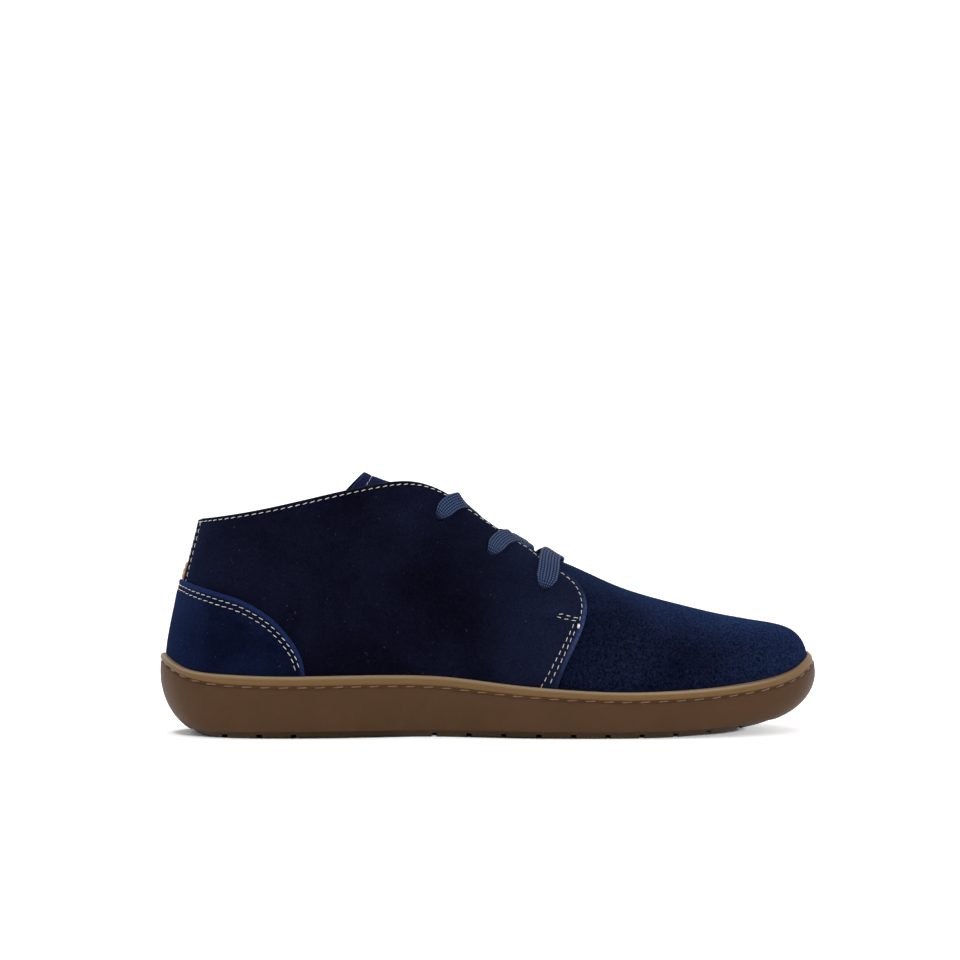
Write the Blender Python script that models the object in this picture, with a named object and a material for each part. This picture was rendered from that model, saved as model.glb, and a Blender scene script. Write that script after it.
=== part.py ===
"""Lace-up chukka boot, left foot: suede upper, lace and heel counter on a stitched rubber cup sole.

The heel points to -X and the toe to +X, the inner (medial) side of the foot is at -Y, and the sole
stands on z = 0.  Tables and named sizes are in millimetres, and MM turns them into Blender's metres.
Fifteen stations run round one half of the foot, from the back of the heel to the tip of the toe.
"""
import math

import bmesh
import bpy
import numpy as np

MM = 0.001

# Driving dimensions
LENGTH = 285.0            # heel to toe, over the sole
BALL_WIDTH = 103.0        # over the sole at the ball of the foot
WALL = 1.8                # upper: suede, backing and lining
GAP = 0.3                 # between pieces that touch
QUARTER_THICK = 1.3
COUNTER_THICK = 2.5
STRIP_THICK = 1.0
TAB_THICK = 1.1
TONGUE_THICK = 1.8
INSOLE_THICK = 4.0
TOE_SPRING = 11.0         # lift of the ground face under the tip of the toe
SPRING_START = 48.0       # where that lift begins, from the middle of the shoe
FLOOR_HEEL = 12.0         # rubber under the foot at the heel
FLOOR_BALL = 8.5          # and at the ball
TREAD_DEPTH = 3.0
TREAD_STEP = 0.8
GROOVE_PITCH = 14.4
GROOVE_WIDTH = 2.3
GROOVE_DEPTH = 1.8
CUP_TUCK = 1.5            # how far the upper draws in below the rim of the cup
BACK_STRIP_HALF = 5.5
EYELET_RADIUS = 2.6
LACE_WIDTH = 8.0
LACE_THICK = 1.5

# Sole stations: along is a share of LENGTH from the heel; inner and outer are shares of BALL_WIDTH
# from the middle line; ledge is the width of the rim outside the upper; rim is its height; tuck_x
# and tuck_y say how far the ground face lies inside the outline.
SOLE_COLUMNS = ("along", "inner", "outer", "ledge", "rim", "tuck_x", "tuck_y")
SOLE_ROWS = (
    (0.000, 0.000, 0.000, 5.0, 34.2, 21.0, 0.0),      # heel back
    (0.030, 0.228, 0.228, 5.0, 28.9, 13.0, 5.0),
    (0.093, 0.342, 0.345, 5.0, 28.1, 4.0, 4.5),
    (0.177, 0.369, 0.374, 4.8, 28.0, 1.0, 3.5),       # heel side
    (0.268, 0.359, 0.379, 4.3, 28.1, 0.0, 3.0),
    (0.353, 0.332, 0.383, 4.1, 28.1, 0.0, 3.0),       # waist
    (0.430, 0.352, 0.408, 4.1, 27.2, 0.0, 3.0),
    (0.507, 0.415, 0.447, 4.1, 24.7, 0.0, 3.0),
    (0.584, 0.469, 0.488, 4.0, 22.0, 0.0, 3.0),
    (0.668, 0.498, 0.500, 3.4, 20.9, 0.0, 3.0),       # ball
    (0.746, 0.500, 0.480, 2.9, 21.0, -0.5, 3.5),
    (0.823, 0.480, 0.424, 2.8, 22.0, -2.0, 5.0),
    (0.896, 0.424, 0.334, 2.8, 24.4, -11.0, 8.5),      # toe corner
    (0.966, 0.305, 0.185, 2.8, 28.8, -25.0, 10.0),
    (1.000, 0.060, -0.060, 2.8, 34.0, -32.0, 0.0),    # toe tip
)

# Upper stations, one for each sole station: top is the collar, throat edge or crest of the vamp
# (top_z for the inner side, top_drop how much lower the outer side is, half the width there, crest
# its middle line); belly and shoulder are the handles of the section curve at its foot and its top;
# outer_ease flattens the outer side, which slopes more than the inner one.
UPPER_COLUMNS = ("top_x", "top_half", "crest", "top_z", "top_drop",
                 "belly_out", "belly_up", "shoulder_out", "shoulder_down", "outer_ease")
UPPER_ROWS = (
    (-124.9, 0.0, 0.0, 91.7, 0.0, 5.4, 26.0, 5.4, 24.0, 1.00),    # heel back
    (-119.8, 14.5, 0.0, 92.4, 0.5, 5.0, 26.0, 5.4, 24.0, 1.00),
    (-107.5, 23.5, 0.0, 94.3, 1.0, 3.8, 26.0, 5.5, 25.0, 1.00),
    (-91.0, 28.0, 0.0, 97.6, 1.5, 3.5, 26.0, 5.0, 27.0, 1.00),
    (-72.0, 29.0, 0.0, 102.0, 1.5, 4.0, 27.0, 5.5, 29.0, 1.00),   # ankle
    (-53.5, 26.5, 0.0, 106.0, 1.5, 5.0, 28.0, 7.5, 30.0, 0.97),
    (-36.5, 21.5, 0.0, 107.9, 1.5, 5.0, 28.0, 10.5, 30.0, 0.94),
    (-20.5, 16.0, 0.0, 102.9, 1.0, 5.0, 28.0, 14.0, 22.0, 0.90),  # throat corner
    (-1.0, 13.0, 0.0, 89.4, 0.5, 5.0, 26.0, 17.0, 12.5, 0.86),
    (16.5, 12.0, 0.0, 78.3, 0.0, 4.5, 24.0, 20.0, 5.5, 0.84),
    (31.0, 11.5, 0.0, 73.8, 0.0, 4.5, 23.0, 25.0, 0.0, 0.84),     # foot of the throat
    (58.0, 8.0, -1.0, 62.1, 0.0, 4.0, 21.0, 27.0, 0.0, 0.87),
    (83.0, 5.0, -3.0, 54.9, 0.0, 3.0, 19.0, 25.0, 0.0, 0.92),     # toe box
    (101.0, 2.5, -4.5, 50.8, 0.0, 2.0, 24.0, 22.0, 0.0, 0.97),
    (111.0, 0.0, -5.0, 49.0, 0.0, 1.8, 31.5, 21.5, 0.0, 1.00),    # toe tip
)
LAST = len(SOLE_ROWS) - 1          # the toe's station number
THROAT_STATION = 9                 # where the throat begins to close
CREST_STATION = 10                 # from here on both halves meet on the crest

# How many strips lie between one station and the next, and how many rows up the wall
STRIPS = (3, 3, 3, 2, 2, 2, 2, 2, 2, 3, 2, 3, 3, 3)
CUP_ROWS = 2
WALL_ROWS = 8

# Edges seen from the side: (x, z) from back to front
COUNTER_EDGE = ((-150.0, 65.6), (-133.0, 65.3), (-125.2, 62.2), (-116.2, 59.6), (-107.0, 55.9),
                (-98.6, 50.9), (-91.9, 45.4), (-86.0, 39.0), (-82.6, 33.5), (-81.0, 27.0), (-80.0, 15.0))
QUARTER_EDGE = ((25.0, 20.0), (25.9, 23.5), (29.2, 31.6), (33.4, 39.9), (36.4, 46.5), (38.2, 53.0),
                (38.0, 58.6), (35.8, 63.4), (32.2, 67.0), (27.6, 70.4), (23.0, 73.6))
QUARTER_REACH = 41.0      # no part of a quarter lies further forward
CUTTER_DEPTH = 14.0       # how far the front cutter reaches on both sides of the last
CUTTER_LEAN = math.radians(42.0)    # and how it leans, with the slope of the instep
# Lace holes on the inner side, seen from the side
EYELETS = (("top", -23.0, 94.0), ("middle", -0.6, 79.9), ("bottom", 22.0, 63.6))

# Tongue sections: middle of the outer face, lean of the section, its radius and half its width
TONGUE_COLUMNS = ("x", "z", "lean", "radius", "half")
TONGUE_ROWS = (
    (43.0, 65.6, 24.0, 32.0, 18.0),     # under the vamp
    (31.0, 71.0, 26.0, 29.0, 20.0),
    (15.0, 79.1, 30.0, 25.5, 20.5),
    (-3.0, 90.5, 35.0, 22.0, 20.5),
    (-18.0, 101.4, 33.0, 20.5, 21.0),
    (-31.0, 106.0, 24.0, 19.5, 22.0),
    (-43.0, 108.0, 26.0, 20.5, 23.5),
    (-54.5, 112.6, 42.0, 22.0, 24.0),   # above the collar
)

COLOURS = {
    "gum_rubber": ((0.115, 0.055, 0.026, 1.0), 0.55),
    "insole_leather": ((0.30, 0.18, 0.09, 1.0), 0.75),
    "suede_navy": ((0.010, 0.016, 0.050, 1.0), 0.95),
    "suede_dark": ((0.006, 0.008, 0.020, 1.0), 0.95),
    "tan_leather": ((0.42, 0.27, 0.12, 1.0), 0.7),
    "lace_blue": ((0.045, 0.080, 0.150, 1.0), 0.85),
}


# ---------------------------------------------------------------- curves round the foot
def closed_spline(values):
    """Knots and second derivatives of the smooth closed curve through evenly spaced values."""
    values = np.asarray(values, float)
    count = len(values)
    system = 4.0 * np.eye(count) + np.roll(np.eye(count), 1, axis=1) + np.roll(np.eye(count), -1, axis=1)
    bend = 6.0 * (np.roll(values, -1) - 2.0 * values + np.roll(values, 1))
    return values, np.linalg.solve(system, bend)


def read_spline(spline, t):
    values, bend = spline
    first = int(math.floor(t)) % len(values)
    second = (first + 1) % len(values)
    f = t - math.floor(t)
    g = 1.0 - f
    curve = (g ** 3 - g) * bend[first] + (f ** 3 - f) * bend[second]
    return g * values[first] + f * values[second] + curve / 6.0


def around(rows, column, signed=False, outer_column=None):
    """One column as a closed curve: out along the inner side, back along the outer side."""
    inner = [row[column] for row in rows]
    outer = [row[outer_column if outer_column is not None else column] for row in rows]
    sign = -1.0 if signed else 1.0
    back = [outer[k] for k in range(LAST - 1, 0, -1)]
    return closed_spline([sign * value for value in inner] + back)


SOLE = {name: around(SOLE_ROWS, k) for k, name in enumerate(SOLE_COLUMNS)}
SOLE["side"] = around(SOLE_ROWS, SOLE_COLUMNS.index("inner"), True, SOLE_COLUMNS.index("outer"))
UPPER = {name: around(UPPER_ROWS, k) for k, name in enumerate(UPPER_COLUMNS)}
UPPER["top_side"] = around(UPPER_ROWS, UPPER_COLUMNS.index("top_half"), True)


def station(t):
    """Station number for a place t on the loop, which runs 0..LAST inside and back outside."""
    t = t % (2 * LAST)
    return t if t <= LAST else 2 * LAST - t


def on_outer_side(t):
    return (t % (2 * LAST)) > LAST


def outline(t):
    """The sole's outline and its outward direction in plan."""
    def place(s):
        x = (read_spline(SOLE["along"], s) - 0.5) * LENGTH
        return np.array([x, read_spline(SOLE["side"], s) * BALL_WIDTH])
    step = 0.01
    ahead = place(t + step) - place(t - step)
    out = np.array([ahead[1], -ahead[0]])
    return place(t), out / np.linalg.norm(out)


def spring(x):
    """Height of the ground face: flat, then lifting towards the toe."""
    reach = max(0.0, x - SPRING_START) / (LENGTH / 2 - SPRING_START)
    return TOE_SPRING * reach ** 2.6


def cup_floor(x):
    """Top of the rubber under the foot."""
    share = min(1.0, max(0.0, (x + 60.0) / 90.0))
    ease = share * share * (3.0 - 2.0 * share)
    return spring(x) + FLOOR_HEEL + (FLOOR_BALL - FLOOR_HEEL) * ease


# ---------------------------------------------------------------- the last: outer face of the upper
def throat_open(s):
    """1 where the quarters stand apart, 0 where both halves meet on the crest."""
    if s <= THROAT_STATION:
        return 1.0
    if s >= CREST_STATION:
        return 0.0
    return math.sqrt(1.0 - (s - THROAT_STATION) ** 2)


def top_point(t):
    s = station(t)
    drop = read_spline(UPPER["top_drop"], t) if on_outer_side(t) else 0.0
    y = read_spline(UPPER["crest"], t) + read_spline(UPPER["top_side"], t) * throat_open(s)
    return np.array([read_spline(UPPER["top_x"], t), y, read_spline(UPPER["top_z"], t) - drop])


def crest_slope(s):
    """Fall of the crest towards the toe, by station."""
    s = min(s, LAST - 1.0)
    a = top_point(s - 0.5)
    b = top_point(s + 0.5)
    return (b[2] - a[2]) / (b[0] - a[0])


def section(t):
    """The four control points of the section curve that climbs the wall at t."""
    s = station(t)
    place, out = outline(t)
    foot_xy = place - out * (read_spline(SOLE["ledge"], t) + CUP_TUCK)
    foot = np.array([foot_xy[0], foot_xy[1], cup_floor(foot_xy[0]) + GAP])
    top = top_point(t)
    ease = read_spline(UPPER["outer_ease"], t) if on_outer_side(t) else 1.0
    belly = np.array([out[0], out[1], 0.0]) * read_spline(UPPER["belly_out"], t)
    belly[2] = read_spline(UPPER["belly_up"], t) * ease
    reach = read_spline(UPPER["shoulder_out"], t) * ease
    fall = read_spline(UPPER["shoulder_down"], t)
    share = min(1.0, max(0.0, s - THROAT_STATION))
    closing = share * share * (3.0 - 2.0 * share)
    lift = closing * crest_slope(max(s, CREST_STATION)) * out[0] * reach
    shoulder = np.array([out[0] * reach, out[1] * reach, lift - fall * (1.0 - closing)])
    return foot, foot + belly, top + shoulder, top


def last_point(t, v):
    """A point of the upper's outer face: t round the foot, v from its foot (0) to its top (1)."""
    a, b, c, d = section(t)
    w = 1.0 - v
    return w ** 3 * a + 3 * w * w * v * b + 3 * w * v * v * c + v ** 3 * d


def rim_share(t):
    """How far up the section the rim of the cup reaches."""
    rim = read_spline(SOLE["rim"], t)
    low, high = 0.0, 0.6
    for _ in range(30):
        middle = 0.5 * (low + high)
        if last_point(t, middle)[2] < rim:
            low = middle
        else:
            high = middle
    return high


def loop_places():
    """The places t of every strip edge, round the inner side and back along the outer side."""
    places = []
    for k, strips in enumerate(STRIPS):
        places += [k + n / strips for n in range(strips)]
    return places + [float(LAST)] + [2 * LAST - t for t in reversed(places[1:])]


PLACES = loop_places()
COUNT = len(PLACES)
ROWS = CUP_ROWS + WALL_ROWS + 1


def mirror_of(c):
    """The strip edge on the other side of the foot."""
    return (COUNT - c) % COUNT


def is_crest(c):
    return station(PLACES[c]) >= CREST_STATION - 1e-9


class LastGrid:
    """The upper's outer face as a grid of points, their normals and the faces between them."""

    def __init__(self):
        self.index = {}
        points = []
        for c, t in enumerate(PLACES):
            rim = rim_share(t)
            for r in range(ROWS):
                shared = r == ROWS - 1 and is_crest(c) and c > COUNT // 2
                if shared:
                    self.index[c, r] = self.index[mirror_of(c), r]
                    continue
                v = rim * r / CUP_ROWS if r <= CUP_ROWS else rim + (1.0 - rim) * (r - CUP_ROWS) / WALL_ROWS
                self.index[c, r] = len(points)
                points.append(last_point(t, v))
        self.points = np.array(points)
        self.faces = []
        for c in range(COUNT):
            n = (c + 1) % COUNT
            for r in range(ROWS - 1):
                face = [self.index[c, r], self.index[n, r], self.index[n, r + 1], self.index[c, r + 1]]
                self.faces.append(list(dict.fromkeys(face)))
        self.normals = self.measure_normals()

    def measure_normals(self):
        normals = np.zeros_like(self.points)
        for face in self.faces:
            corners = self.points[face]
            cross = np.zeros(3)
            for k in range(1, len(face) - 1):
                cross += np.cross(corners[k] - corners[0], corners[k + 1] - corners[0])
            for corner in face:
                normals[corner] += cross
        return normals / np.linalg.norm(normals, axis=1)[:, None]

    def at(self, c, r, offset=0.0):
        k = self.index[c, r]
        return self.points[k] + self.normals[k] * offset


GRID = LastGrid()


# ---------------------------------------------------------------- Blender objects
def material(name):
    found = bpy.data.materials.get(name)
    if found:
        return found
    colour, roughness = COLOURS[name]
    made = bpy.data.materials.new(name)
    made.use_nodes = True
    shader = made.node_tree.nodes["Principled BSDF"]
    shader.inputs["Base Color"].default_value = colour
    shader.inputs["Roughness"].default_value = roughness
    shader.inputs["Metallic"].default_value = 0.0
    made.diffuse_color = colour
    return made


def add_object(name, points, faces, finish=None):
    """A mesh object from points in millimetres, with its faces turned outwards."""
    mesh = bpy.data.meshes.new(name)
    mesh.from_pydata([tuple(float(value) * MM for value in point) for point in points], [], faces)
    work = bmesh.new()
    work.from_mesh(mesh)
    bmesh.ops.recalc_face_normals(work, faces=work.faces)
    if work.calc_volume(signed=True) < 0:
        bmesh.ops.reverse_faces(work, faces=work.faces)
    work.to_mesh(mesh)
    work.free()
    obj = bpy.data.objects.new(name, mesh)
    bpy.context.scene.collection.objects.link(obj)
    if finish:
        mesh.materials.append(material(finish))
        mesh.shade_smooth()
        mesh.set_sharp_from_angle(angle=math.radians(38.0))
    return obj


def as_cutter(obj):
    obj.hide_render = True
    obj.display_type = "WIRE"
    return obj


def boolean(obj, cutter, operation):
    step = obj.modifiers.new(operation.lower(), "BOOLEAN")
    step.operation = operation
    step.solver = "EXACT"
    step.object = cutter


def prism(name, edge, y_low, y_high):
    """A cutter with an outline seen from the side, from y_low to y_high."""
    count = len(edge)
    points = [(x, y_low, z) for x, z in edge] + [(x, y_high, z) for x, z in edge]
    faces = [list(range(count)), list(range(2 * count - 1, count - 1, -1))]
    faces += [[k, count + k, count + (k + 1) % count, (k + 1) % count] for k in range(count)]
    return as_cutter(add_object(name, points, faces))


def block(name, low, high):
    """A cutter block between two corners."""
    edge = ((low[0], low[2]), (high[0], low[2]), (high[0], high[2]), (low[0], high[2]))
    return prism(name, edge, low[1], high[1])


def smooth_edge(edge, parts=3):
    """More points on the smooth curve through a short list of them."""
    path = [np.array(point) for point in edge]
    path = [2 * path[0] - path[1]] + path + [2 * path[-1] - path[-2]]
    fine = []
    for a, b, c, d in zip(path, path[1:], path[2:], path[3:]):
        for k in range(parts):
            f = k / parts
            bend = (2 * a - 5 * b + 4 * c - d) * f * f + (3 * b - a - 3 * c + d) * f ** 3
            fine.append(tuple(0.5 * (2 * b + (c - a) * f + bend)))
    return fine + [tuple(edge[-1])]


# ---------------------------------------------------------------- shells cut from the last
def shell(name, inner, outer, finish, above_rim=False):
    """A closed solid between two forms of the last, open at the collar, throat and underneath."""
    first = CUP_ROWS if above_rim else 0
    points, index = [], {}
    for layer, offset in (("in", inner), ("out", outer)):
        for c in range(COUNT):
            for r in range(first, ROWS):
                key = (layer, GRID.index[c, r])
                if key not in index:
                    place = GRID.at(c, r, offset)
                    if above_rim and r == first:
                        rise = GRID.at(c, r + 1, offset) - place
                        place = place + rise * (2 * GAP / np.linalg.norm(rise))
                    index[key] = len(points)
                    points.append(place)
    faces = []
    for c in range(COUNT):
        n = (c + 1) % COUNT
        for layer in ("in", "out"):
            for r in range(first, ROWS - 1):
                corners = [GRID.index[c, r], GRID.index[n, r], GRID.index[n, r + 1], GRID.index[c, r + 1]]
                corners = [index[layer, k] for k in dict.fromkeys(corners)]
                faces += [[corners[0], a, b] for a, b in zip(corners[1:], corners[2:])]
        edges = [(GRID.index[c, first], GRID.index[n, first])]
        if not (is_crest(c) and is_crest(n)):
            edges.append((GRID.index[n, ROWS - 1], GRID.index[c, ROWS - 1]))
        for a, b in edges:
            faces.append([index["in", a], index["in", b], index["out", b], index["out", a]])
    return add_object(name, points, faces, finish)


def side_place(x, z, outer_side):
    """The t and v of the point of the last that is seen from the side at x, z."""
    best = None
    for a in range(30, 100, 2):
        for b in range(30, 100, 5):
            t, v = a / 100 * LAST, b / 100
            t = 2 * LAST - t if outer_side else t
            miss = np.hypot(*(last_point(t, v)[[0, 2]] - (x, z)))
            if best is None or miss < best[0]:
                best = (miss, t, v)
    _, t, v = best
    for _ in range(20):
        here = last_point(t, v)[[0, 2]]
        by_t = (last_point(t + 0.01, v)[[0, 2]] - here) / 0.01
        by_v = (last_point(t, v + 0.001)[[0, 2]] - here) / 0.001
        change = np.linalg.solve(np.column_stack([by_t, by_v]), np.array([x, z]) - here)
        t += change[0]
        v += change[1]
    return t, v


def last_normal(t, v):
    by_t = last_point(t + 0.02, v) - last_point(t - 0.02, v)
    by_v = last_point(t, v + 0.002) - last_point(t, v - 0.002)
    normal = np.cross(by_t, by_v)
    return normal / np.linalg.norm(normal)


# ---------------------------------------------------------------- sole and insole
def ladder(first_index):
    """Faces that close a ring of strip edges, straight across from side to side."""
    faces = []
    for c in range(COUNT // 2):
        corners = [c, c + 1, mirror_of(c + 1), mirror_of(c)]
        faces.append([first_index + k for k in dict.fromkeys(corners)])
    return faces


def stack_rings(name, rings, finish):
    """A closed solid from rings of points, closed across the first and the last."""
    points = [point for ring in rings for point in ring]
    faces = ladder(0) + ladder(COUNT * (len(rings) - 1))
    for level in range(len(rings) - 1):
        base = level * COUNT
        for c in range(COUNT):
            n = (c + 1) % COUNT
            faces.append([base + c, base + n, base + COUNT + n])
            faces.append([base + c, base + COUNT + n, base + COUNT + c])
    return add_object(name, points, faces, finish)


def plan(point, direction, distance, z):
    return np.array([point[0] + direction[0] * distance, point[1] + direction[1] * distance, z])


# Side of the cup, down from the rim: how far in from the outline and how far below the rim
SIDE_COLUMNS = ("inset", "below")
SIDE_ROWS = (
    (1.1, 0.2),      # rounded top of the lip
    (0.3, 1.1),
    (0.0, 2.4),
    (0.0, 4.3),      # foot of the lip
    (0.8, 4.9),      # stitch groove
    (0.8, 6.2),
    (0.0, 6.8),      # side wall
)
ROLL_BELOW = 9.5     # the side wall begins to roll under this far below the rim
ROLL_STEPS = (0.35, 0.62, 0.82)


def make_cupsole():
    columns = []
    for c, t in enumerate(PLACES):
        place, out = outline(t)
        rim = read_spline(SOLE["rim"], t)
        foot = GRID.at(c, 0)
        column = [plan(foot, out, GAP, cup_floor(foot[0]))]
        column.append(GRID.at(c, 1, GAP))
        inner_rim = GRID.at(c, CUP_ROWS, GAP)
        column.append(plan(inner_rim, out, 0.0, rim))
        for inset, below in SIDE_ROWS:
            column.append(plan(place, out, -inset, rim - below))
        toward_axis = 1.0 if not on_outer_side(t) else -1.0
        tuck = np.array([read_spline(SOLE["tuck_x"], t), toward_axis * read_spline(SOLE["tuck_y"], t)])
        if station(t) in (0.0, float(LAST)):
            tuck[1] = 0.0
        ground = spring(place[0] + tuck[0])
        roll_top = rim - ROLL_BELOW

        def rolled(z, extra=0.0):
            share = min(1.0, (roll_top - z) / (roll_top - ground))
            pull = 1.0 - math.sqrt(max(0.0, 1.0 - share * share))
            length = max(1e-6, float(np.hypot(*tuck)))
            move = tuck * pull + tuck / length * extra
            return np.array([place[0] + move[0], place[1] + move[1], z])

        tread_top = ground + TREAD_DEPTH
        for step in (0.0,) + ROLL_STEPS:
            column.append(rolled(roll_top + (tread_top - roll_top) * step))
        column.append(rolled(tread_top))
        column.append(rolled(tread_top - 0.3, TREAD_STEP))
        column.append(rolled(ground + 0.9, TREAD_STEP))
        column.append(rolled(ground, TREAD_STEP))
        columns.append(column)
    sole = stack_rings("cupsole", list(zip(*columns)), "gum_rubber")
    boolean(sole, tread_cutter(), "DIFFERENCE")
    return sole


def tread_cutter():
    """Bars that cut the cross grooves of the tread under the forefoot and the heel."""
    starts = [-26.0 + GROOVE_PITCH * k for k in range(12)]
    starts += [-129.0 + GROOVE_PITCH * k for k in range(4)]
    points, faces = [], []
    half = GROOVE_WIDTH / 2
    for x in starts:
        base = len(points)
        top = spring(x) + GROOVE_DEPTH
        for dx, z in ((-half, top - 8.0), (half, top - 8.0), (half, top), (-half, top)):
            points += [(x + dx, -BALL_WIDTH, z), (x + dx, BALL_WIDTH, z)]
        faces += [[base + 0, base + 2, base + 4, base + 6], [base + 7, base + 5, base + 3, base + 1]]
        faces += [[base + k, base + k + 1, base + (k + 3) % 8, base + (k + 2) % 8] for k in (0, 2, 4, 6)]
    return as_cutter(add_object("tread_bars", points, faces))


def make_insole():
    rings = [[], []]
    for c, t in enumerate(PLACES):
        _, out = outline(t)
        foot = GRID.at(c, 0)
        edge = plan(foot, out, -(WALL + 2 * GAP), 0.0)
        bottom = cup_floor(foot[0]) + GAP
        rings[0].append(np.array([edge[0], edge[1], bottom]))
        rings[1].append(np.array([edge[0], edge[1], bottom + INSOLE_THICK]))
    return stack_rings("insole", rings, "insole_leather")


# ---------------------------------------------------------------- upper and what lies over it
def eyelet_places():
    """Every lace hole as its centre on the last and the direction of its punch."""
    places = {}
    for name, x, z in EYELETS:
        for side, outer_side in (("inner", False), ("outer", True)):
            t, v = side_place(x, z, outer_side)
            places[name, side] = (last_point(t, v), last_normal(t, v))
    return places


def make_punches(places):
    """One cutter holding a short round bar through every lace hole."""
    points, faces = [], []
    sides = 10
    for centre, normal in places.values():
        across = np.cross(normal, (1.0, 0.0, 0.0))
        across /= np.linalg.norm(across)
        along = np.cross(normal, across)
        base = len(points)
        for height in (-6.0, 6.0):
            for k in range(sides):
                angle = 2 * math.pi * k / sides
                ring = across * math.cos(angle) + along * math.sin(angle)
                points.append(centre + normal * height + ring * EYELET_RADIUS)
        faces.append([base + k for k in range(sides)])
        faces.append([base + sides + k for k in reversed(range(sides))])
        for k in range(sides):
            n = (k + 1) % sides
            faces.append([base + k, base + sides + k, base + sides + n, base + n])
    return as_cutter(add_object("lace_punches", points, faces))


def make_upper(punches):
    upper = shell("upper", -WALL, 0.0, "suede_navy")
    boolean(upper, punches, "DIFFERENCE")
    return upper


def edge_cutter(name, edge, outer_side):
    """A bar leaning with the instep, whose rear face cuts the last along an edge seen from the side."""
    places = [last_point(*side_place(x, z, outer_side)) for x, z in smooth_edge(edge)]
    side = 1.0 if outer_side else -1.0
    lean = np.array([0.0, side * math.sin(CUTTER_LEAN), math.cos(CUTTER_LEAN)])
    climb = np.array([0.0, -side * math.cos(CUTTER_LEAN), math.sin(CUTTER_LEAN)])
    places = [places[0] - climb * CUTTER_DEPTH] + places + [places[-1] + climb * CUTTER_DEPTH]
    points = []
    for place in places:
        front = np.array([QUARTER_REACH + 2.0, place[1], place[2]])
        for at, height in ((place, -1), (place, 1), (front, 1), (front, -1)):
            points.append(at + lean * CUTTER_DEPTH * height)
    faces = [[0, 1, 2, 3], [len(points) - 4 + k for k in (3, 2, 1, 0)]]
    for k in range(len(places) - 1):
        for n in range(4):
            m = (n + 1) % 4
            faces.append([4 * k + n, 4 * k + m, 4 * k + 4 + m, 4 * k + 4 + n])
    return as_cutter(add_object(name, points, faces))


def make_quarter(name, outer_side, punches):
    """A side panel: behind its curved front edge, above the counter, beside the back strip."""
    quarter = shell(name, GAP, GAP + QUARTER_THICK, "suede_dark", above_rim=True)
    counter = [(x + GAP, z + GAP) for x, z in smooth_edge(COUNTER_EDGE)]
    edge = counter + [(QUARTER_REACH, 15.0), (QUARTER_REACH, 130.0), (-150.0, 130.0)]
    near, far = BACK_STRIP_HALF + GAP, 90.0
    side = prism(name + "_outline", edge, near if outer_side else -far, far if outer_side else -near)
    boolean(quarter, side, "INTERSECT")
    boolean(quarter, edge_cutter(name + "_front", QUARTER_EDGE, outer_side), "DIFFERENCE")
    boolean(quarter, punches, "DIFFERENCE")
    return quarter


def make_heel_counter():
    counter = shell("heel_counter", GAP, GAP + COUNTER_THICK, "suede_navy", above_rim=True)
    edge = smooth_edge(COUNTER_EDGE) + [(-150.0, 15.0)]
    boolean(counter, prism("counter_outline", edge, -90.0, 90.0), "INTERSECT")
    return counter


def make_back_strip():
    strip = shell("back_strip", GAP, GAP + STRIP_THICK, "suede_dark", above_rim=True)
    low = (-150.0, -BACK_STRIP_HALF, COUNTER_EDGE[0][1] + GAP)
    boolean(strip, block("strip_outline", low, (-100.0, BACK_STRIP_HALF, 130.0)), "INTERSECT")
    return strip


def make_back_tab():
    inner = 2 * GAP + STRIP_THICK
    tab = shell("back_tab", inner, inner + TAB_THICK, "tan_leather", above_rim=True)
    low = (-150.0, -4.5, COUNTER_EDGE[0][1] + 2 * GAP)
    boolean(tab, block("tab_outline", low, (-100.0, 4.5, low[2] + 8.0)), "INTERSECT")
    return tab


def make_tongue():
    """A curved strip whose sections lean with the instep."""
    across = 10
    lengthwise = 2
    rows = []
    for k in range(len(TONGUE_ROWS) - 1):
        for n in range(lengthwise):
            rows.append(blend_rows(TONGUE_ROWS, k, n / lengthwise))
    rows.append(TONGUE_ROWS[-1])
    points, faces = [], []
    for depth in (0.0, TONGUE_THICK):
        for x, z, lean, radius, half in rows:
            normal = np.array([math.sin(math.radians(lean)), 0.0, math.cos(math.radians(lean))])
            centre = np.array([x, 0.0, z])
            for k in range(across + 1):
                angle = (2.0 * k / across - 1.0) * half / radius
                side = np.array([0.0, math.sin(angle), 0.0])
                up = normal * math.cos(angle)
                points.append(centre - normal * radius + (side + up) * (radius - depth))
    width = across + 1
    layer = width * len(rows)
    for a in range(len(rows) - 1):
        for b in range(across):
            face = [a * width + b, a * width + b + 1, (a + 1) * width + b + 1, (a + 1) * width + b]
            faces += [face, [layer + k for k in reversed(face)]]
    border = [b for b in range(width)]
    border += [a * width + across for a in range(1, len(rows))]
    border += [(len(rows) - 1) * width + b for b in range(across - 1, -1, -1)]
    border += [a * width for a in range(len(rows) - 2, 0, -1)]
    for a, b in zip(border, border[1:] + border[:1]):
        faces.append([a, layer + a, layer + b, b])
    return add_object("tongue", points, faces, "suede_navy")


def blend_rows(rows, k, f):
    """A row between row k and the next, on the smooth curve through all of them."""
    a = np.array(rows[max(0, k - 1)])
    b, c = np.array(rows[k]), np.array(rows[k + 1])
    d = np.array(rows[min(len(rows) - 1, k + 2)])
    bend = (2 * a - 5 * b + 4 * c - d) * f * f + (3 * b - a - 3 * c + d) * f ** 3
    return tuple(0.5 * (2 * b + (c - a) * f + bend))


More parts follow.
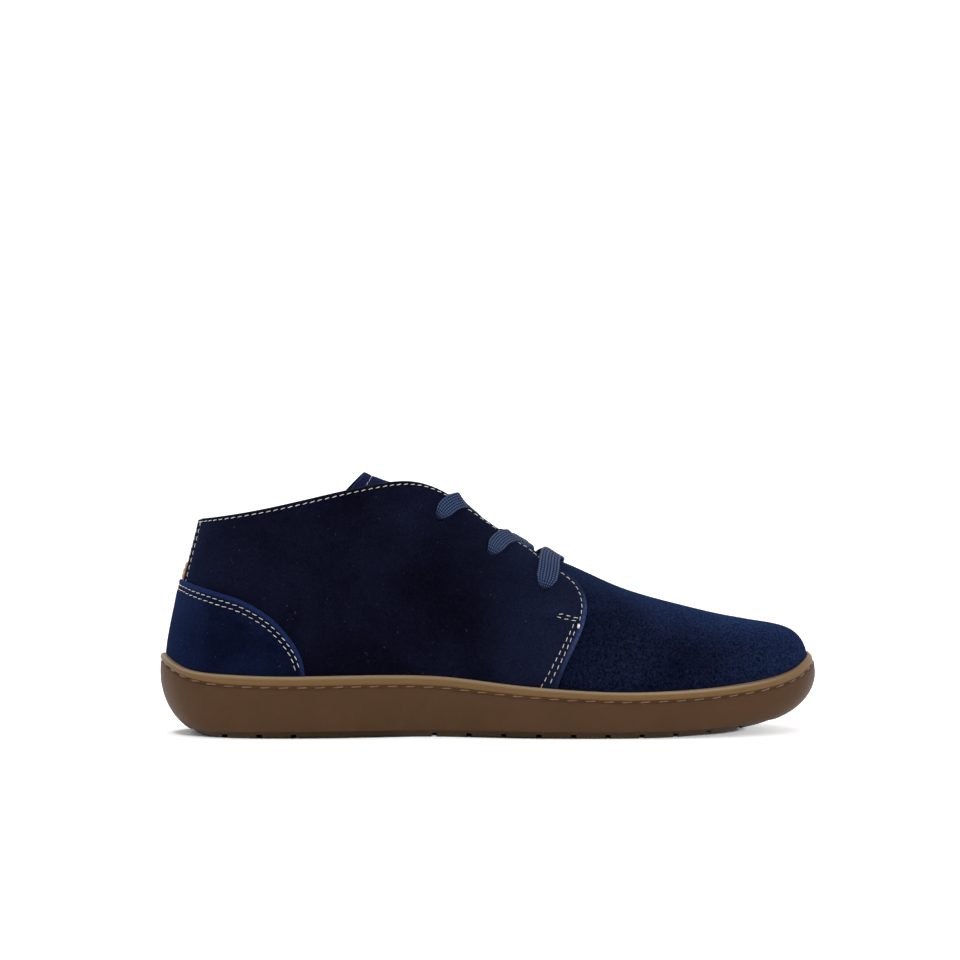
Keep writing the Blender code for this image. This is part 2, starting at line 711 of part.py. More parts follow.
# ---------------------------------------------------------------- lace
# Where each run crosses the edge of the throat, by station; where a crossing starts, by station and
# height above the edges of the throat
LACE_HEIGHT = 4 * GAP + QUARTER_THICK + LACE_THICK / 2
LACE_EDGE = {"top": 7.27, "middle": 8.43, "bottom": 9.6}
LACE_START = {"top": (7.9, 0.2), "middle": (8.95, 0.5)}
LACE_REACH = 0.62         # how much of the throat's half width a crossing starts from
LACE_SAG = 0.5            # how much lower a crossing lies in the middle of the throat
BAR_SAG = 2.2             # and the bar
LACE_TAIL = 3.2           # past the middle of the hole


def bridge(t, w):
    """A point between the quarters, level with the last: w is -1 at the inner edge, 1 at the outer."""
    inner, outer = section(t), section(2 * LAST - t)
    a, d = inner[3], outer[3]
    reach = 0.08 * np.linalg.norm(d - a)
    b = a - reach * (inner[2] - a) / np.linalg.norm(inner[2] - a)
    c = d - reach * (outer[2] - d) / np.linalg.norm(outer[2] - d)
    f = 0.5 * (w + 1.0)
    g = 1.0 - f
    return g ** 3 * a + 3 * g * g * f * b + 3 * g * f * f * c + f ** 3 * d


def bridge_normal(t, w):
    by_t = bridge(t + 0.05, w) - bridge(t - 0.05, w)
    by_w = bridge(t, w + 0.02) - bridge(t, w - 0.02)
    middle = np.cross(by_t, by_w)
    edge = last_normal(2 * LAST - t if w > 0 else t, 1.0)
    normal = middle / np.linalg.norm(middle) * (1.0 - abs(w) ** 3) + edge * abs(w) ** 3
    return normal / np.linalg.norm(normal)


def wall_run(name, outer_side, parts):
    """Places of a lace run from the throat's edge down the quarter, past its hole."""
    x, z = next((x, z) for row, x, z in EYELETS if row == name)
    t_hole, v_hole = side_place(x, z, outer_side)
    t_edge = 2 * LAST - LACE_EDGE[name] if outer_side else LACE_EDGE[name]
    t_gap = t_hole - t_edge
    v_gap = v_hole - 1.0
    length = np.linalg.norm(last_point(t_hole, v_hole) - last_point(t_edge, 1.0))
    end = 1.0 + LACE_TAIL / length
    run = []
    for k in range(1, parts + 1):
        f = end * k / parts
        t, v = t_edge + t_gap * f, 1.0 + v_gap * f
        normal = last_normal(t, v)
        run.append((last_point(t, v) + normal * LACE_HEIGHT, normal))
    return run


def gap_run(start, end, sag, parts):
    """Places of a lace run over the tongue, between two ends given as t, w and height."""
    run = []
    for k in range(parts + 1):
        t, w, height = np.array(start) + (np.array(end) - np.array(start)) * k / parts
        normal = bridge_normal(t, w)
        run.append((bridge(t, w) + normal * (height - sag * (1.0 - w * w)), normal))
    return run


def ribbon(name, run, finish=None):
    """A flat band with thin edges along a run of places and normals."""
    half, thick = LACE_WIDTH / 2, LACE_THICK / 2
    shape = ((-half, 0.0), (-0.8 * half, -thick), (0.8 * half, -thick),
             (half, 0.0), (0.8 * half, thick), (-0.8 * half, thick))
    count = len(shape)
    points, faces = [], []
    for k, (place, normal) in enumerate(run):
        ahead = run[min(k + 1, len(run) - 1)][0] - run[max(k - 1, 0)][0]
        across = np.cross(ahead, normal)
        across /= np.linalg.norm(across)
        up = np.cross(across, ahead)
        up /= np.linalg.norm(up)
        points += [place + across * a + up * b for a, b in shape]
    for k in range(len(run) - 1):
        for n in range(count):
            m = (n + 1) % count
            faces.append([k * count + n, k * count + m, (k + 1) * count + m, (k + 1) * count + n])
    last = (len(run) - 1) * count
    faces += [list(reversed(range(count))), [last + n for n in range(count)]]
    return add_object(name, points, faces, finish)


def make_lace_bar():
    """The straight run on the outside of the lowest pair of holes."""
    inner = list(reversed(wall_run("bottom", False, 4)))
    t = LACE_EDGE["bottom"]
    middle = gap_run((t, -1.0, LACE_HEIGHT), (t, 1.0, LACE_HEIGHT), BAR_SAG, 6)
    return ribbon("lace_bar", inner + middle + wall_run("bottom", True, 4), "lace_blue")


def make_crossing(name, hole):
    """Two runs that come up inside one quarter and go down over the other, joined where they cross."""
    runs = []
    for outer_side in (False, True):
        sign = 1.0 if outer_side else -1.0
        t_start, start_height = LACE_START[hole]
        start = (t_start, -LACE_REACH * sign, start_height)
        middle = gap_run(start, (LACE_EDGE[hole], sign, LACE_HEIGHT + GAP), LACE_SAG, 7)
        runs.append(middle + wall_run(hole, outer_side, 4))
    under = as_cutter(ribbon(name + "_second", runs[1]))
    over = ribbon(name, runs[0], "lace_blue")
    boolean(over, under, "UNION")
    return over


def clear_scene():
    for obj in list(bpy.data.objects):
        bpy.data.objects.remove(obj, do_unlink=True)


clear_scene()
make_cupsole()
make_insole()
PUNCHES = make_punches(eyelet_places())
make_upper(PUNCHES)
make_quarter("quarter_inner", False, PUNCHES)
make_quarter("quarter_outer", True, PUNCHES)
make_heel_counter()
make_back_strip()
make_back_tab()
make_tongue()
make_lace_bar()
make_crossing("lace_cross_lower", "middle")
make_crossing("lace_cross_upper", "top")
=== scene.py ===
import math

import bmesh
import bpy
import numpy as np
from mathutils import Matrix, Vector, kdtree


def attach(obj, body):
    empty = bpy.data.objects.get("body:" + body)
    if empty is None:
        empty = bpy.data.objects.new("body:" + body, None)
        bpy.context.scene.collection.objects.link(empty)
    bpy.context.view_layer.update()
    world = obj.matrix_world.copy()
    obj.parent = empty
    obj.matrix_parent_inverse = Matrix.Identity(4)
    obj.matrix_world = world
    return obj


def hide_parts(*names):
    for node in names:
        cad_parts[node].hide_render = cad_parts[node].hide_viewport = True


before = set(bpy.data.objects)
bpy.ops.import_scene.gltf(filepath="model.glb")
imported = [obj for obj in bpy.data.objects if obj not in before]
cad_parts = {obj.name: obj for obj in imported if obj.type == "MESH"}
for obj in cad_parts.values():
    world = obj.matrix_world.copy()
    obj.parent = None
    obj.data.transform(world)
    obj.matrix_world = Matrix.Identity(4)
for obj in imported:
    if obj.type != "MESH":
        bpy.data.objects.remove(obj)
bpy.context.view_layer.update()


# ---------------------------------------------------------------- camera, floor and light
# A long lens looks level at the inner side of the boot from the height of its collar.  The floor is
# painted white and curls up into a round wall.  It is lit by soft boxes, and it also glows a little:
# painted light that washes out the boot's shadow, left off in two ovals under the boot.
camera = bpy.data.objects.new("camera", bpy.data.cameras.new("camera"))
bpy.context.scene.collection.objects.link(camera)
camera.location = (-0.10843, -1.19510, 0.109)
camera.rotation_euler = (math.radians(90.0), 0.0, math.radians(-5.0))
camera.data.lens = 103.06
camera.data.sensor_width = 36.0
bpy.context.scene.camera = camera


def feed(made, socket, value):
    """Gives a socket of a material a plain value, or joins another node's output to it."""
    if isinstance(value, bpy.types.NodeSocket):
        made.node_tree.links.new(value, socket)
    else:
        socket.default_value = value


def principled(name, colour, roughness, others=()):
    """A new material and its Principled shader, with the values that are the same all over it."""
    made = bpy.data.materials.new(name)
    made.use_nodes = True
    shader = made.node_tree.nodes["Principled BSDF"]
    for socket, value in (("Base Color", (*colour, 1.0)), ("Roughness", roughness), *others):
        shader.inputs[socket].default_value = value
    return made, shader


def add_node(made, kind, output, inputs, **settings):
    """Adds a node to a material, feeds its inputs and gives back one of its outputs."""
    node = made.node_tree.nodes.new("ShaderNode" + kind)
    for setting, value in settings.items():
        setattr(node, setting, value)
    for socket, value in inputs.items():
        feed(made, node.inputs[socket], value)
    return node.outputs[output]


def on_piece(made):
    """Places measured on the piece itself, so that a pattern stays with it."""
    return add_node(made, "TexCoord", "Object", {})


def tube_faces(first, around, rings):
    """Faces between rings of points that follow each other."""
    faces = []
    for low in range(first, first + (rings - 1) * around, around):
        high = low + around
        faces += [(low + k, high + k, high + (k + 1) % around, low + (k + 1) % around) for k in range(around)]
    return faces


FLOOR_FLAT, FLOOR_BEND, FLOOR_TOP = 2.4, 0.9, 3.4     # metres: flat radius, radius of the bend, wall top
FLOOR_SIDES = 72
# Ovals under the boot where the floor's painted light is left off: middle along x and half sizes of an oval
FLOOR_SHADE = ((-0.073, 0.066, 0.038), (0.037, 0.077, 0.048))


def make_floor():
    profile = [(r, 0.0) for r in (0.05, 0.4, 1.0, 1.8, FLOOR_FLAT)]
    profile += [(FLOOR_FLAT + FLOOR_BEND * math.sin(a), FLOOR_BEND - FLOOR_BEND * math.cos(a))
                for a in np.linspace(0.1, math.pi / 2, 12)]
    profile += [(FLOOR_FLAT + FLOOR_BEND, 2.0), (FLOOR_FLAT + FLOOR_BEND, FLOOR_TOP)]
    turns = [2 * math.pi * k / FLOOR_SIDES for k in range(FLOOR_SIDES)]
    points = [(0.0, 0.0, 0.0)] + [(r * math.cos(a), r * math.sin(a), z) for r, z in profile for a in turns]
    faces = [(0, 1 + k, 1 + (k + 1) % FLOOR_SIDES) for k in range(FLOOR_SIDES)]
    faces += tube_faces(1, FLOOR_SIDES, len(profile))
    mesh = bpy.data.meshes.new("studio_floor")
    mesh.from_pydata(points, [], faces)
    mesh.shade_smooth()
    floor = bpy.data.objects.new("studio_floor", mesh)
    bpy.context.scene.collection.objects.link(floor)
    white = (1.0, 1.0, 1.0, 1.0)
    paint, shader = principled("studio white with painted light", (0.8, 0.8, 0.8), 0.7, [("Emission Color", white)])
    ovals = []
    for middle, half_x, half_y in FLOOR_SHADE:
        moved = add_node(paint, "Mapping", "Vector", {
            "Vector": on_piece(paint),
            "Scale": (1.0 / half_x, 1.0 / half_y, 1.0),
            "Location": (-middle / half_x, 0.0, 0.0)})
        ovals.append(add_node(paint, "TexGradient", "Fac", {"Vector": moved}, gradient_type="SPHERICAL"))
    under = add_node(paint, "Math", "Value", dict(enumerate(ovals)), operation="MAXIMUM")
    # The floor's emission is painted light that washes out the boot's shadow; it is left off in the ovals
    # under the boot
    painted_floor_glow = add_node(paint, "MapRange", "Result",
                    {"Value": under, "From Max": 0.06, "To Min": 0.45, "To Max": 0.0})
    feed(paint, shader.inputs["Emission Strength"], painted_floor_glow)
    mesh.materials.append(paint)


def soft_box(name, place, aim, size, power):
    """A square area light at place that faces aim."""
    lamp = bpy.data.objects.new(name, bpy.data.lights.new(name, "AREA"))
    bpy.context.scene.collection.objects.link(lamp)
    lamp.data.shape = "RECTANGLE"
    lamp.data.size, lamp.data.size_y = size
    lamp.data.energy = power
    lamp.location = place
    lamp.rotation_euler = (lamp.location - Vector(aim)).to_track_quat("Z", "Y").to_euler()
    lamp.visible_camera = False


make_floor()
soft_box("box_above", (0.15, 0.10, 1.60), (0.0, 0.0, 0.0), (1.8, 1.4), 12.0)
soft_box("box_front", (-0.9, -1.7, 0.9), (0.0, 0.0, 0.05), (1.2, 1.0), 5.0)
soft_box("box_toe", (1.9, -0.5, 0.8), (0.05, 0.0, 0.05), (1.0, 1.0), 5.0)
soft_box("box_backdrop", (0.3, 0.9, 2.3), (0.3, 3.3, 0.5), (3.0, 1.0), 15.0)
bpy.context.scene.view_settings.view_transform = "Standard"
sky = bpy.data.worlds.new("studio sky")
sky.use_nodes = True
background = sky.node_tree.nodes["Background"]
background.inputs["Color"].default_value = (1.0, 1.0, 1.0, 1.0)
background.inputs["Strength"].default_value = 0.35
bpy.context.scene.world = sky


# ---------------------------------------------------------------- vamp
# One piece of navy suede lasted over the forefoot, glued and sewn down into the cup sole.  Its rear
# edge runs under the quarters, and the tongue is sewn to it there.
MM = 0.001
LENGTH = 285.0
BALL_WIDTH = 103.0
TOE_SPRING, SPRING_START = 11.0, 48.0
FLOOR_HEEL, FLOOR_BALL = 12.0, 8.5
CUP_TUCK = 1.5
GAP = 0.3
VAMP_THICK = 0.9
REAR_LOW, REAR_HIGH = 7.9, 9.42      # stations of the rear edge of the vamp, low down and high up
T_STEP, V_STEP = 0.01, 0.002         # small steps along and up the last, to measure its slopes by
TOE = 14                 # station of the toe: t runs 0..14 along the inner side and on to 28 = heel

# Shares of length and width, then ledge outside the upper, rim height and tuck of the ground face
SOLE_COLUMNS = ("along", "inner", "outer", "ledge", "rim", "tuck_x", "tuck_y")
SOLE_ROWS = (
    (0.000, 0.000, 0.000, 5.0, 34.5, 21.0, 0.0),
    (0.030, 0.228, 0.228, 5.0, 29.6, 13.0, 5.0),
    (0.093, 0.342, 0.345, 5.0, 27.2, 4.0, 4.5),
    (0.177, 0.369, 0.374, 4.8, 26.3, 1.0, 3.5),
    (0.268, 0.359, 0.379, 4.3, 26.4, 0.0, 3.0),
    (0.353, 0.332, 0.383, 4.1, 26.4, 0.0, 3.0),
    (0.430, 0.352, 0.408, 4.1, 25.5, 0.0, 3.0),
    (0.507, 0.415, 0.447, 4.1, 23.0, 0.0, 3.0),
    (0.584, 0.469, 0.488, 4.0, 21.0, 0.0, 3.0),
    (0.668, 0.498, 0.500, 3.4, 19.7, 0.0, 3.0),
    (0.746, 0.500, 0.480, 2.9, 19.8, -0.5, 3.5),
    (0.823, 0.480, 0.424, 2.7, 21.0, -2.0, 5.0),
    (0.896, 0.424, 0.334, 2.4, 23.4, -11.0, 8.5),
    (0.966, 0.305, 0.185, 1.9, 28.3, -25.0, 10.0),
    (1.000, 0.060, -0.060, 1.7, 34.0, -32.0, 0.0),
)


def foot_curve(inner, outer=None, signed=False):
    """A smooth closed curve through station values: read(t) takes a number or an array."""
    outer = inner if outer is None else outer
    values = np.array([-v if signed else v for v in inner] + [outer[k] for k in range(TOE - 1, 0, -1)])
    count = len(values)
    eye = np.eye(count)
    system = 4 * eye + np.roll(eye, 1, 1) + np.roll(eye, -1, 1)
    bend = np.linalg.solve(system, 6 * (np.roll(values, -1) - 2 * values + np.roll(values, 1)))

    def read(t):
        t = np.asarray(t, float) % count
        k = np.floor(t).astype(int) % count
        n = (k + 1) % count
        f = t - np.floor(t)
        g = 1 - f
        return g * values[k] + f * values[n] + ((g ** 3 - g) * bend[k] + (f ** 3 - f) * bend[n]) / 6

    return read


SOLE = {name: foot_curve([row[k] for row in SOLE_ROWS]) for k, name in enumerate(SOLE_COLUMNS)}
SOLE["side"] = foot_curve([row[1] for row in SOLE_ROWS], [row[2] for row in SOLE_ROWS], signed=True)


def unit(arrows):
    return arrows / np.linalg.norm(arrows, axis=-1, keepdims=True)


def grow(x, start, run):
    """0 before start, 1 from start + run on and even between them; a negative run goes the other way."""
    return np.clip((x - start) / run, 0, 1)


def smooth(share):
    """The same share, but starting and ending gently."""
    return share * share * (3 - 2 * share)


def sole_outline(t):
    """Edge of the sole in plan and its outward direction, as arrays of x, y."""
    def place(s):
        return np.stack([(SOLE["along"](s) - 0.5) * LENGTH, SOLE["side"](s) * BALL_WIDTH], -1)
    ahead = place(t + T_STEP) - place(t - T_STEP)
    return place(t), unit(np.stack([ahead[..., 1], -ahead[..., 0]], -1))


def toe_spring(x):
    return TOE_SPRING * np.clip((x - SPRING_START) / (LENGTH / 2 - SPRING_START), 0, None) ** 2.6


def cup_floor(x):
    return toe_spring(x) + FLOOR_HEEL + (FLOOR_BALL - FLOOR_HEEL) * smooth(grow(x, -60.0, 90.0))


def add_piece(name, points, faces, *finishes):
    """A mesh object from points in millimetres that goes with the boot."""
    mesh = bpy.data.meshes.new(name)
    mesh.from_pydata((np.asarray(points) * MM).tolist(), [], faces)
    mesh.shade_smooth()
    for finish in finishes:
        mesh.materials.append(finish)
    obj = bpy.data.objects.new(name, mesh)
    bpy.context.scene.collection.objects.link(obj)
    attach(obj, "root")
    return obj


UPPER_COLUMNS = ("top_x", "top_half", "crest", "top_z", "top_drop",
                 "belly_out", "belly_up", "shoulder_out", "shoulder_down", "outer_ease")
UPPER_ROWS = (
    (-124.9, 0.0, 0.0, 91.7, 0.0, 5.4, 26.0, 5.4, 24.0, 1.00),    # heel back
    (-119.8, 14.5, 0.0, 92.4, 0.5, 5.0, 26.0, 5.4, 24.0, 1.00),
    (-107.5, 23.5, 0.0, 94.3, 1.0, 3.8, 26.0, 5.5, 25.0, 1.00),
    (-91.0, 28.0, 0.0, 97.6, 1.5, 3.5, 26.0, 5.0, 27.0, 1.00),
    (-72.0, 29.0, 0.0, 102.0, 1.5, 4.0, 27.0, 5.5, 29.0, 1.00),   # ankle
    (-53.5, 26.5, 0.0, 106.0, 1.5, 5.0, 28.0, 7.5, 30.0, 0.97),
    (-36.5, 21.5, 0.0, 107.9, 1.5, 5.0, 28.0, 10.5, 30.0, 0.94),
    (-20.5, 16.0, 0.0, 102.9, 1.0, 5.0, 28.0, 14.0, 22.0, 0.90),  # throat corner
    (-1.0, 13.0, 0.0, 89.4, 0.5, 5.0, 26.0, 17.0, 12.5, 0.86),
    (16.5, 12.0, 0.0, 78.3, 0.0, 4.5, 24.0, 20.0, 5.5, 0.84),
    (31.0, 11.5, 0.0, 73.8, 0.0, 4.5, 23.0, 25.0, 0.0, 0.84),     # foot of the throat
    (58.0, 8.0, -1.0, 62.1, 0.0, 4.0, 21.0, 27.0, 0.0, 0.87),
    (83.0, 5.0, -3.0, 54.9, 0.0, 3.0, 19.0, 25.0, 0.0, 0.92),     # toe box
    (101.0, 2.5, -4.5, 50.6, 0.0, 2.0, 24.0, 21.2, 0.0, 0.97),
    (110.0, 0.0, -5.0, 48.8, 0.0, 2.7, 30.0, 18.8, 0.0, 1.00),    # toe tip
)
THROAT_CORNER, THROAT_STATION, CREST_STATION = 7, 9, 10
UPPER = {name: foot_curve([row[k] for row in UPPER_ROWS]) for k, name in enumerate(UPPER_COLUMNS)}
UPPER["top_side"] = foot_curve([row[1] for row in UPPER_ROWS], signed=True)


def station(t):
    t = t % (2 * TOE)
    return np.where(t <= TOE, t, 2 * TOE - t)


def for_side(t, outer, inner):
    """One value on the outer side of the boot and another on the inner."""
    return np.where(t % (2 * TOE) > TOE, outer, inner)


def top_point(t):
    """The collar, the edge of the throat or the crest of the vamp."""
    s = station(t)
    apart = np.sqrt(np.clip(1.0 - np.clip(s - THROAT_STATION, 0, 1) ** 2, 0, 1))
    drop = for_side(t, UPPER["top_drop"](t), 0.0)
    y = UPPER["crest"](t) + UPPER["top_side"](t) * apart
    return np.stack([UPPER["top_x"](t), y, UPPER["top_z"](t) - drop], -1)


def shoulder_point(t):
    """The third control point of the section curve, as the stations give it."""
    s = station(t)
    _, out = sole_outline(t)
    reach = UPPER["shoulder_out"](t) * for_side(t, UPPER["outer_ease"](t), 1.0)
    closing = smooth(grow(s, THROAT_STATION, 1.0))
    slope_at = np.clip(s, CREST_STATION, TOE - 1)
    behind, ahead = top_point(slope_at - 0.5), top_point(slope_at + 0.5)
    slope = (ahead[..., 2] - behind[..., 2]) / (ahead[..., 0] - behind[..., 0])
    lift = closing * slope * out[..., 0] * reach - UPPER["shoulder_down"](t) * (1 - closing)
    return top_point(t) + np.concatenate([out * reach[..., None], lift[..., None]], -1)


STATION_SHOULDERS = shoulder_point(np.arange(2.0 * TOE))
STATION_SHOULDERS[[CREST_STATION, -CREST_STATION], 1] *= 1.03
SHOULDER = [foot_curve(axis[:TOE + 1], np.roll(axis[::-1], 1)[:TOE + 1]) for axis in STATION_SHOULDERS.T]


def last(t, v):
    """The outer face of the upper: t round the foot, v from the foot of the wall (0) to its top (1)."""
    t, v = np.broadcast_arrays(np.asarray(t, float), np.asarray(v, float))
    place, out = sole_outline(t)
    foot_xy = place - out * (SOLE["ledge"](t) + CUP_TUCK)[..., None]
    foot = np.concatenate([foot_xy, (cup_floor(foot_xy[..., 0]) + GAP)[..., None]], -1)
    top = top_point(t)
    belly_up = UPPER["belly_up"](t) * for_side(t, UPPER["outer_ease"](t), 1.0)
    belly = np.concatenate([out * UPPER["belly_out"](t)[..., None], belly_up[..., None]], -1)
    shoulder = np.stack([axis(t) for axis in SHOULDER], -1)
    v = v[..., None]
    w = 1 - v
    return w ** 3 * foot + 3 * w * w * v * (foot + belly) + 3 * w * v * v * shoulder + v ** 3 * top


def last_normal(t, v):
    """The outward direction of the last."""
    along = last(t + 2 * T_STEP, v) - last(t - 2 * T_STEP, v)
    up = last(t, v + V_STEP) - last(t, v - V_STEP)
    return unit(np.cross(along, up))


def rim_share(t):
    """How far up the wall the rim of the cup reaches."""
    rim = SOLE["rim"](t)
    low, high = np.zeros(np.shape(t)), np.full(np.shape(t), 0.6)
    for _ in range(26):
        middle = 0.5 * (low + high)
        below = last(t, middle)[..., 2] < rim
        low, high = np.where(below, middle, low), np.where(below, high, middle)
    return high


def last_grid(t, v):
    """Points and normals of the last for grids of t and v whose columns mirror each other."""
    t, v = np.broadcast_arrays(t, v)
    base, normal = last(t, v), last_normal(t, v)
    for c in np.nonzero(station(t[:, -1]) >= CREST_STATION)[0]:
        other = (len(t) - c) % len(t) if abs(t[0, 0]) < 1e-9 else len(t) - 1 - c
        if other > c:
            normal[c, -1] = normal[other, -1] = unit(normal[c, -1] + normal[other, -1])
    return base, normal


def hand_lasted(points):
    """The slight unevenness of leather pulled over the last by hand, in millimetres."""
    x, y, z = points[..., 0], points[..., 1], points[..., 2]
    soft = np.sin(x / 17.0 + z / 11.0 + 0.6) * np.sin(z / 13.0 - x / 29.0 + y / 19.0)
    return 0.16 * soft + 0.10 * np.sin(x / 9.0 - z / 7.0 + y / 15.0 + 1.9)


def sheet_faces(columns, rows, first, closed=False):
    """Faces of a grid of points, columns by rows, seen from outside."""
    faces = []
    for c in range(columns if closed else columns - 1):
        n = (c + 1) % columns
        here, there = first + c * rows, first + n * rows
        faces += [(here + r, there + r, there + r + 1, here + r + 1) for r in range(rows - 1)]
    return faces


def leather(name, outside, inside, finish, closed=False, seam=(), wear_and_highlight=None):
    """A closed sheet between two grids; seam lists columns whose top points are shared with another's.

    The lightening given for each point, from 0 to 1, is stored for the finish to read: scuffing, and painted
    highlight.
    """
    columns, rows = outside.shape[:2]
    count = columns * rows
    points = np.concatenate([outside.reshape(-1, 3), inside.reshape(-1, 3)])
    top = rows - 1
    keep = list(range(2 * count))
    for column, other in seam:
        for first in (0, count):
            keep[first + column * rows + top] = first + other * rows + top
    joined = {column for pair in seam for column in pair}
    faces = sheet_faces(columns, rows, 0, closed)
    faces += [face[::-1] for face in sheet_faces(columns, rows, count, closed)]
    border = []
    for c in range(columns if closed else columns - 1):
        n = (c + 1) % columns
        border.append((n * rows, c * rows))
        if not (c in joined and n in joined):
            border.append((c * rows + top, n * rows + top))
    if not closed:
        far = (columns - 1) * rows
        border += [(r, r + 1) for r in range(top)]
        border += [(far + r + 1, far + r) for r in range(top)]
    faces += [(a, b, count + b, count + a) for a, b in border]
    faces = [list(dict.fromkeys(keep[k] for k in face)) for face in faces]
    piece = add_piece(name, points, [face for face in faces if len(face) > 2], finish)
    rubbed_and_lit = np.zeros(2 * count) if wear_and_highlight is None else np.concatenate([wear_and_highlight.ravel(), wear_and_highlight.ravel()])
    piece.data.attributes.new("wear_and_highlight", "FLOAT", "POINT").data.foreach_set("value", rubbed_and_lit)
    work = bmesh.new()
    work.from_mesh(piece.data)
    bmesh.ops.remove_doubles(work, verts=work.verts, dist=0.01 * MM)
    bmesh.ops.delete(work, geom=[v for v in work.verts if not v.link_faces], context="VERTS")
    work.to_mesh(piece.data)
    work.free()
    return piece


def noise(made, scale, detail, rough=0.5, distortion=0.0):
    return add_node(made, "TexNoise", "Fac", {"Vector": on_piece(made), "Scale": scale, "Detail": detail,
                                              "Roughness": rough, "Distortion": distortion})


def ramp(made, value, low, high, dark, light):
    """A colour that goes from dark to light as the value goes from low to high."""
    node = made.node_tree.nodes.new("ShaderNodeValToRGB")
    for stop, position, colour in zip(node.color_ramp.elements, (low, high), (dark, light)):
        stop.position = position
        stop.color = (*colour, 1.0)
    feed(made, node.inputs["Fac"], value)
    return node.outputs["Color"]


def mixed(made, kind, a, b, factor=1.0):
    return add_node(made, "Mix", "Result", {"Factor": factor, "A": a, "B": b},
                    data_type="RGBA", blend_type=kind)


def painted(made, name):
    """A value that is stored with the points of the mesh."""
    return add_node(made, "Attribute", "Fac", {}, attribute_name=name)


def finished(made, shader, colour, height, strength, depth):
    """Joins the colour, and a height as fine relief this many metres deep, to the shader."""
    relief = add_node(made, "Bump", "Normal", {"Height": height, "Strength": strength, "Distance": depth})
    feed(made, shader.inputs["Base Color"], colour)
    feed(made, shader.inputs["Normal"], relief)
    return made


def suede(name, deep, brushed, rubbed_and_lit, patch_scale, nap_depth, grain, fibre=1500.0):
    """Suede: patches where the nap lies another way, short fibres, a soft sheen, specks, and a lighter colour
    on scuffed edges and as painted highlight.
    """
    made, shader = principled(name, deep, 0.95, [
        ("Specular IOR Level", 0.0), ("Sheen Weight", 0.06), ("Sheen Roughness", 0.5),
        ("Sheen Tint", (0.25, 0.40, 0.95, 1.0))])
    patches = ramp(made, noise(made, patch_scale, 3.0, 0.55, 0.6), 0.36, 0.68, deep, brushed)
    # The suede lightens towards its lighter colour where the points say so: scuffed edges, and painted
    # highlight
    worn_and_lit = mixed(made, "MIX", patches, (*rubbed_and_lit, 1.0), painted(made, "wear_and_highlight"))
    fibres = ramp(made, noise(made, fibre, 3.0, 0.7), 0.32, 0.68, (1 - grain,) * 3, (1 + 1.5 * grain,) * 3)
    specks = ramp(made, noise(made, 900.0, 1.0, 0.4), 0.75, 0.79, (0.0, 0.0, 0.0), (0.016, 0.020, 0.030))
    colour = mixed(made, "ADD", mixed(made, "MULTIPLY", worn_and_lit, fibres), specks)
    return finished(made, shader, colour, noise(made, 1500.0, 4.0, 0.65), nap_depth, 0.0005)


def make_vamp():
    # Columns run from the rear edge to the toe, closer together at the tip; rows start below the rim
    forward = np.concatenate([np.linspace(0.0, 0.8, 120), np.linspace(0.805, 1.0, 56)])[:, None]
    up = np.linspace(0, 1, 84)[None, :] ** 0.97
    v = up
    for _ in range(4):
        rear = REAR_LOW + (REAR_HIGH - REAR_LOW) * smooth(grow(v, 0.25, 0.55))
        t = rear + (TOE - rear) * forward
        low = rim_share(t) * 0.8
        v = low + (1.0 - low) * up
    t, v = np.concatenate([t, 2 * TOE - t[-2::-1]]), np.concatenate([v, v[-2::-1]])
    base, normal = last_grid(t, v)
    # The foot of the throat would leave a line down the wall there: it is eased out sideways
    ease = np.exp(-((station(t) - CREST_STATION) / 0.45) ** 2) * grow(v, 1.0, -0.12)
    for _ in range(70):
        for grid in (base, normal):
            grid[1:-1] += ease[1:-1, :, None] * (0.25 * (grid[2:] + grid[:-2]) - 0.5 * grid[1:-1])
    normal, x = unit(normal), base[..., 0]
    crest = station(t[:, -1]) >= CREST_STATION
    columns = len(t)
    outside = base + normal * (hand_lasted(base) * grow(x, 30.0, 25.0))[..., None]
    inside = base - normal * VAMP_THICK
    seam = [(columns - 1 - c, c) for c in range(columns // 2) if crest[c]]
    # Painted highlight along the top of the toe box, where light from above falls, and a little all over the
    # tip
    wear_and_highlight = 0.42 * grow(v, 0.4, 0.6) * (0.3 + 0.7 * grow(x, 40.0, 60.0)) + 0.15 * grow(x, 90.0, 40.0)
    face = suede("suede of the vamp", (0.0020, 0.0027, 0.0084), (0.0039, 0.0058, 0.0168),
                 (0.013, 0.032, 0.101), 26.0, 0.6, 0.95, 1050.0)
    vamp = leather("vamp", outside, inside, face, seam=seam, wear_and_highlight=wear_and_highlight)
    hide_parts("upper")


make_vamp()


# ---------------------------------------------------------------- lining
# Black woven lining glued inside the whole upper.  It turns up level with the cut edge of the collar
# and shows there as a thin dark line above the suede.
WALL = 1.8


